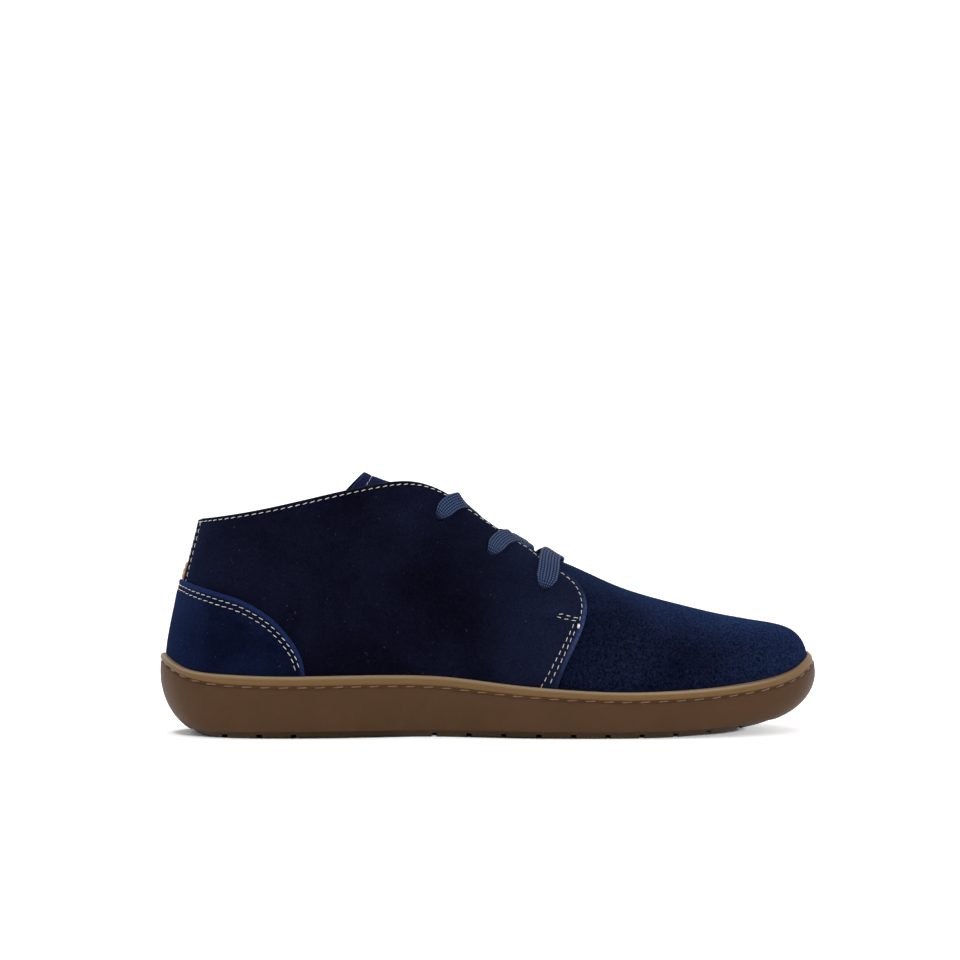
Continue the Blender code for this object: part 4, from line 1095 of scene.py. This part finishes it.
# Outer face of the cup, down from the rim: inset from the outline and depth below the rim
LIP_ROWS = ((1.5, 0.0), (1.05, 0.12), (0.6, 0.4), (0.25, 0.85), (0.07, 1.3), (0.0, 1.8), (0.0, 2.5),
            (0.02, 3.1), (0.12, 3.6), (0.32, 3.95), (0.6, 4.2))
SEAM_ROWS = ((0.8, 4.45), (0.86, 4.85), (0.8, 5.25), (0.6, 5.55), (0.3, 5.8), (0.1, 6.2))
# A painted highlight along the crest of the lip: how pale it is, this far below the rim
CREST_HIGHLIGHT = ((0.0, 0.4, 0.9, 1.6), (0.5, 0.85, 0.5, 0.0))      # how pale the lip is, this far below the rim
# How tall the lip and its groove are along the boot, as a share of those depths
LIP_SHARE = ((-140.0, -115.0, -10.0, 35.0, 120.0, 140.0), (0.6, 0.95, 0.97, 0.82, 0.76, 0.66))
TOE_SLANT = 2.2               # the lip leans back at the toe
AROUND = 840                  # columns of points round the sole


def groove_bars():
    """Square bars laid across under the tread, to cut its grooves."""
    points, faces = [], []
    half, tall = GROOVE_WIDTH / 2, 8.0
    for x in [start + GROOVE_PITCH * k for start, count in GROOVE_GROUPS for k in range(count)]:
        base = len(points)
        top = float(toe_spring(x)) + GROOVE_DEPTH
        for dx, z in ((-half, top - tall), (half, top - tall), (half, top), (-half, top)):
            points += [(x + dx, -BALL_WIDTH, z), (x + dx, BALL_WIDTH, z)]
        faces += [(base, base + 2, base + 4, base + 6), (base + 7, base + 5, base + 3, base + 1)]
        faces += [(base + k, base + k + 1, base + (k + 3) % 8, base + (k + 2) % 8) for k in (0, 2, 4, 6)]
    return points, faces


def make_cupsole():
    t = np.arange(AROUND) * 2 * TOE / AROUND
    place, out = sole_outline(t)
    rim = SOLE["rim"](t)
    foot = place - out * (SOLE["ledge"](t) + CUP_TUCK)[:, None]
    tuck = np.stack([SOLE["tuck_x"](t), for_side(t, -1.0, 1.0) * SOLE["tuck_y"](t)], -1)
    tuck[[0, AROUND // 2], 1] = 0.0
    tuck_length = np.maximum(np.linalg.norm(tuck, axis=1), 1e-6)[:, None]
    ground = toe_spring(place[:, 0] + tuck[:, 0])
    roll_top = rim - ROLL_BELOW
    rings = []

    def ring(xy, z):
        rings.append(np.column_stack([xy, np.broadcast_to(z, len(xy))]))

    def rolled(z, extra=0.0):
        pull = 1.0 - np.sqrt(1.0 - grow(z, roll_top, ground - roll_top) ** 2)
        ring(place + tuck * pull[:, None] + tuck / tuck_length * extra, z)

    # Inside of the cup, from its floor up to the rim
    ring(foot, cup_floor(foot[:, 0]))
    for share, clear in ((0.5, 0.3), (0.9, 0.15), (0.985, 0.12)):
        v = rim_share(t) * share
        wall = last(t, v) + last_normal(t, v) * clear
        ring(wall[:, :2], wall[:, 2])
    wall = last(t, rim_share(t))
    ring(wall[:, :2] + out * 0.45, rim)
    rim_ring = len(rings) - 1
    shallow = np.interp(place[:, 0], *LIP_SHARE)
    slant = TOE_SLANT * grow(place[:, 0], 112.0, 26.0)
    room = np.linalg.norm(place - wall[:, :2], axis=1) - 0.7

    def outer_row(inset, below):
        sloped = np.minimum(inset + slant * (1.0 - below / ROLL_BELOW) ** 1.3, room)
        return place - out * np.maximum(sloped, min(inset, 1.5))[:, None], rim - below * shallow

    for inset, below in LIP_ROWS:
        ring(*outer_row(inset, below))
    wall_from = len(rings) - 1
    for inset, below in SEAM_ROWS:
        ring(*outer_row(inset, below))
    # Wall, rolled under at the heel and the toe, then the tread, which stands a step inside it
    tread_top = ground + TREAD_DEPTH
    for share in np.sin(np.linspace(0, math.pi / 2, 18)):
        rolled(roll_top + (tread_top - roll_top) * share)
    tread_from = len(rings) - 1
    for z, extra in ((tread_top - 0.12, 0.5 * TREAD_STEP), (tread_top - 0.35, TREAD_STEP),
                     (ground + 1.2, TREAD_STEP), (ground + 0.35, TREAD_STEP + 0.15),
                     (ground, TREAD_STEP + 0.5)):
        rolled(z, extra)
    points = np.concatenate(rings)
    faces = tube_faces(0, AROUND, len(rings))
    finish = []
    for level in range(len(rings) - 1):
        finish += [0 if level < wall_from else 1 if level < tread_from else 2] * AROUND
    for first in (0, (len(rings) - 1) * AROUND):
        for c in range(AROUND // 2):
            corners = list(dict.fromkeys([c, c + 1, (AROUND - c - 1) % AROUND, (AROUND - c) % AROUND]))
            faces.append([first + k for k in (corners[::-1] if first else corners)])
            finish.append(2)
    lip = rubber("gum rubber lip", (0.112, 0.058, 0.0185), (0.140, 0.077, 0.029), 0.45, 0.10)
    wall = rubber("gum rubber wall", (0.040, 0.0170, 0.0050), (0.070, 0.0310, 0.0104), 0.55, 0.22)
    # The tread is the same rubber coloured darker: painted shade under the wall
    tread = rubber("gum rubber tread in painted shade", (0.026, 0.0145, 0.0065), (0.040, 0.023, 0.011), 0.65, 0.30)
    cupsole = add_piece("cup_sole", points, faces, lip, wall, tread)
    cupsole.data.polygons.foreach_set("material_index", finish)
    # Painted highlight along the lip's crest, fading out towards the toe
    pale = np.zeros(len(points))
    highlight_fade = 1.0 - 0.9 * grow(station(t), 11.0, 2.0)
    for level, below in enumerate([0.0] + [row[1] for row in LIP_ROWS], rim_ring):
        pale[level * AROUND:(level + 1) * AROUND] = np.interp(below, *CREST_HIGHLIGHT) * highlight_fade
    cupsole.data.attributes.new("crest", "FLOAT", "POINT").data.foreach_set("value", pale)
    cut_away(cupsole, *groove_bars(), tread)
    cupsole.data.set_sharp_from_angle(angle=math.radians(50.0))
    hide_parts("cupsole")
    round_sole = np.append(np.arange(AROUND), 0)
    seam_places = np.column_stack(outer_row(0.84, 4.95))[round_sole]
    seam_normals = np.column_stack([out, 0 * rim])[round_sole]
    thread = thread_finish("gum thread", (0.085, 0.040, 0.019), (0.175, 0.096, 0.055))
    sew("sole_stitches", [(seam_places, seam_normals)], thread, 7.7, 4.4, 0.32, 0.12)


make_cupsole()


# ---------------------------------------------------------------- laces
# One flat ribbed cotton lace, denim blue.  It lies straight across the lowest holes and crosses twice
# over the tongue, each run coming up inside one quarter and going down through a hole of the other.
# Its ends go in at the top holes.
LACE_HALF = 3.9
LACE_THICK = 1.3
LACE_LIE = 2.35           # middle of the lace above the last where it lies on a quarter
LACE_EDGE = {"top": 7.31, "middle": 8.46, "bottom": 9.77}
LACE_BELLY = {"top": 0.0, "middle": 0.0, "bottom": 0.07}      # bend towards the toe on the quarter
LACE_START = {"top": 7.9, "middle": 8.95}
# Height of a crossing above the edges of the throat, from where it comes up to where it goes over
LACE_RISE = {"middle": ((-0.97, -0.9, -0.78, -0.55, -0.2, 0.3, 0.7, 1.0),
                        (-1.7, -0.4, 1.3, 2.5, 2.6, 1.9, 1.7, 2.4)),
             "top": ((-0.97, -0.8, -0.6, 0.0, 0.6, 1.0),
                     (-1.8, -0.9, -0.3, 0.0, 0.9, 2.4))}
BAR_SAG = 2.9
BAR_WIDER = 1.2
BAR_SHIFT = 0.13                   # the outer end crosses its edge a little nearer the toe, in stations
BAR_LEAN = math.radians(36.0)      # the bar lies with the slope of the instep
LACE_STEP = 0.3                    # between rings of points along a lace
RIBS, RIB_DEEP = 7, 0.17
# On the way in at a hole: distance left to its middle, height above the last and half width
LACE_ENTRY = ((4.0, 2.35, 3.8), (2.8, 2.40, 3.5), (1.8, 2.25, 3.05), (1.0, 1.80, 2.6), (0.5, 1.05, 2.35),
              (0.3, 0.1, 2.2), (0.25, -1.0, 2.1), (0.25, -2.3, 2.1))


def bridge(t, w):
    """Points between the quarters, level with the last: w is -1 at the inner edge, 1 at the outer."""
    a, d = last(t, 1.0), last(2 * TOE - t, 1.0)
    reach = 0.08 * np.linalg.norm(d - a, axis=-1, keepdims=True)
    b = a + reach * unit(a - last(t, 0.99))
    c = d + reach * unit(d - last(2 * TOE - t, 0.99))
    f = 0.5 * (w + 1.0)[..., None]
    g = 1.0 - f
    return g ** 3 * a + 3 * g * g * f * b + 3 * g * f * f * c + f ** 3 * d


def bridge_normal(t, w):
    along, across = bridge(t + 0.05, w) - bridge(t - 0.05, w), bridge(t, w + 0.02) - bridge(t, w - 0.02)
    middle = unit(np.cross(along, across))
    edge = last_normal(np.where(w > 0, 2 * TOE - t, t), 1.0)
    share = (np.abs(w) ** 3)[..., None]
    return unit(middle * (1.0 - share) + edge * share)


def run_over_wall(name, outer_side, shift=0.0):
    """From the edge of the throat down a quarter and in at its hole: places, sideways, half widths."""
    hole_t, hole_v = (value[0] for value in side_place([EYELETS[name]], outer_side))
    edge_t = LACE_EDGE[name] + shift
    way = np.linspace(0, 1, 60)

    def on_way(f):
        t = edge_t + (hole_t - edge_t) * f + LACE_BELLY[name] * np.sin(math.pi * np.clip(f, 0, 1))
        return flip(t, outer_side), 1.0 + (hole_v - 1.0) * f

    lengths = run_lengths(last(*on_way(way)))
    whole = lengths[-1]
    before = [(left, LACE_LIE, LACE_HALF) for left in np.linspace(whole, LACE_ENTRY[0][0], 6)[1:-1]]
    left, height, half = np.array(before + list(LACE_ENTRY)).T
    f = np.interp(whole - left, lengths, way)
    surface, normal = last(*on_way(f)), last_normal(*on_way(f))
    sideways = unit(np.cross(last(*on_way(f + 0.02)) - surface, normal))
    return surface + normal * height[:, None], sideways, half


def run_under_wall(t, outer_side):
    """The hidden start of a run, between the tongue and the lining of a quarter."""
    v = np.array([0.93, 0.96, 0.985])
    surface, normal = on_side(np.full(3, t), v, outer_side)
    sideways = unit(np.cross(surface[2] - surface[0], normal))
    return surface + normal * np.array([-2.1, -2.05, -1.95])[:, None], sideways, np.full(3, LACE_HALF - 0.6)


def run_over_gap(t, w, height):
    """Over the tongue: places, sideways and half widths for arrays of t, w and height."""
    surface, normal = bridge(t, w), bridge_normal(t, w)
    sideways = unit(np.cross(np.gradient(surface, axis=0), normal))
    return surface + normal * height[:, None], sideways, np.full(len(t), LACE_HALF)


def eased(rows, reach):
    """Rows of values smoothed along their length, with both ends kept."""
    side = max(12, round(reach / (LACE_STEP / 2)))
    padded = np.concatenate([np.repeat(rows[:1], side, 0), rows, np.repeat(rows[-1:], side, 0)])
    weight = np.exp(-(np.arange(-side, side + 1) * LACE_STEP / reach) ** 2)
    weight /= weight.sum()
    return np.stack([np.convolve(padded[:, k], weight, "valid") for k in range(rows.shape[1])], -1)


def weave_lace(name, runs, finish, node, turn=2.4):
    """A flat lace along joined runs, ribbed lengthwise on both faces; it turns over this length."""
    places, sideways, half = (np.concatenate([run[k] for run in runs]) for k in range(3))
    table = smooth_edge(np.column_stack([places, sideways, half]), 12)
    fine = resample(table, LACE_STEP)
    places, sideways, half = eased(fine[:, :3], 0.9), eased(fine[:, 3:6], turn), fine[:, 6]
    ahead = unit(np.gradient(places, axis=0))
    sideways = unit(sideways - ahead * (sideways * ahead).sum(1, keepdims=True))
    up = np.cross(sideways, ahead)
    u = np.linspace(-1, 1, 6 * RIBS + 1)
    flat = LACE_THICK / 2 * (1 - np.abs(u) ** 9 * 0.55)
    ridge = RIB_DEEP * np.abs(np.sin((u + 1) * RIBS * math.pi / 2)) ** 0.7
    top = flat - RIB_DEEP + ridge
    ring_u = np.concatenate([u, u[-2:0:-1]])
    ring_h = np.concatenate([top, -top[-2:0:-1]])
    count, around = len(places), len(ring_u)
    along, rib = np.arange(count) * LACE_STEP, (ring_u + 1) * RIBS / 2
    knit = 0.05 * np.sin(along[:, None] * 2 * math.pi / 1.2 + np.floor(rib)[None] * math.pi)
    gathered = np.clip(LACE_HALF - half, 0, None)[:, None] * 0.35 * (np.abs(ring_u) ** 2)[None]
    height = ring_h[None] + np.sign(ring_h)[None] * knit - gathered
    points = (places[:, None] + sideways[:, None] * (half[:, None] * ring_u[None])[..., None]
              + up[:, None] * height[..., None])
    faces = []
    for low in range(0, (count - 1) * around, around):
        high = low + around
        faces += [(low + n, low + (n + 1) % around, high + (n + 1) % around, high + n) for n in range(around)]
    faces += [list(reversed(range(around))), [(count - 1) * around + n for n in range(around)]]
    lace = add_piece(name, points.reshape(-1, 3), faces, finish)
    for attribute, values in (("across", np.tile(rib, count)), ("along", np.repeat(along, around))):
        lace.data.attributes.new(attribute, "FLOAT", "POINT").data.foreach_set("value", values)
    work = bmesh.new()
    work.from_mesh(lace.data)
    bmesh.ops.recalc_face_normals(work, faces=work.faces)
    work.to_mesh(lace.data)
    work.free()
    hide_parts(node)


def lace_finish():
    """Denim-blue cotton: slanting stitches in each rib, painted shade between the ribs and between the
    stitches, and a little fuzz.
    """
    made, shader = principled("denim blue lace", (0.030, 0.050, 0.105), 0.9,
                              [("Sheen Weight", 0.06), ("Specular IOR Level", 0.05)])

    def maths(kind, a, b=0.0):
        return add_node(made, "Math", "Value", {0: a, 1: b}, operation=kind)

    in_rib = maths("PINGPONG", painted(made, "across"), 0.5)
    slant = maths("ADD", maths("MULTIPLY", painted(made, "along"), 5.2), maths("MULTIPLY", in_rib, 5.0))
    stitch = maths("ADD", maths("MULTIPLY", maths("SINE", slant), 0.5), 0.5)
    ridge = maths("MULTIPLY", in_rib, 2.0)
    height = maths("MULTIPLY", ridge, maths("ADD", maths("MULTIPLY", stitch, 0.75), 0.25))
    # The colour darkens with the relief: painted shade between the ribs and between the stitches
    tint = ramp(made, height, 0.08, 0.85, (0.004, 0.007, 0.020), (0.057, 0.097, 0.212))
    return finished(made, shader, tint, height, 0.6, 0.0004)


def make_laces():
    finish = lace_finish()
    w = np.linspace(-1, 1, 9)
    inner, outer = run_over_wall("bottom", False), run_over_wall("bottom", True, BAR_SHIFT)
    back = [part[::-1] for part in inner]
    back[1] = -back[1]
    bow = 1 - w * w
    middle_t = LACE_EDGE["bottom"] + 0.04 * bow + BAR_SHIFT * (1 + w) / 2
    middle = run_over_gap(middle_t, w, LACE_LIE - BAR_SAG * bow)
    lean = np.array([math.cos(BAR_LEAN), 0.0, -math.sin(BAR_LEAN)])
    middle[1][:] = lean * np.sign(middle[1][:, :1])
    parts = [(run[0], run[1], run[2] * BAR_WIDER) for run in (back, middle, outer)]
    weave_lace("lace_bar", parts, finish, "lace_bar", turn=5.0)
    share = np.linspace(0, 1, 12)
    for hole, node, over_side in (("middle", "lace_cross_lower", False), ("top", "lace_cross_upper", True)):
        for outer_side, side, sign in ((False, "inner", -1.0), (True, "outer", 1.0)):
            w = sign * (-0.97 + 1.97 * share)
            t = LACE_START[hole] + (LACE_EDGE[hole] - LACE_START[hole]) * share
            lift = 0.7 if outer_side == over_side else -0.5      # one run lies on the other at the crossing
            height = np.interp(w * sign, *LACE_RISE[hole]) + lift * np.exp(-(w / 0.33) ** 2)
            gap = run_over_gap(t, w, height)
            under = run_under_wall(LACE_START[hole] + 0.05, not outer_side)
            weave_lace(node + "_" + side, (under, gap, run_over_wall(hole, outer_side)), finish, node)


make_laces()
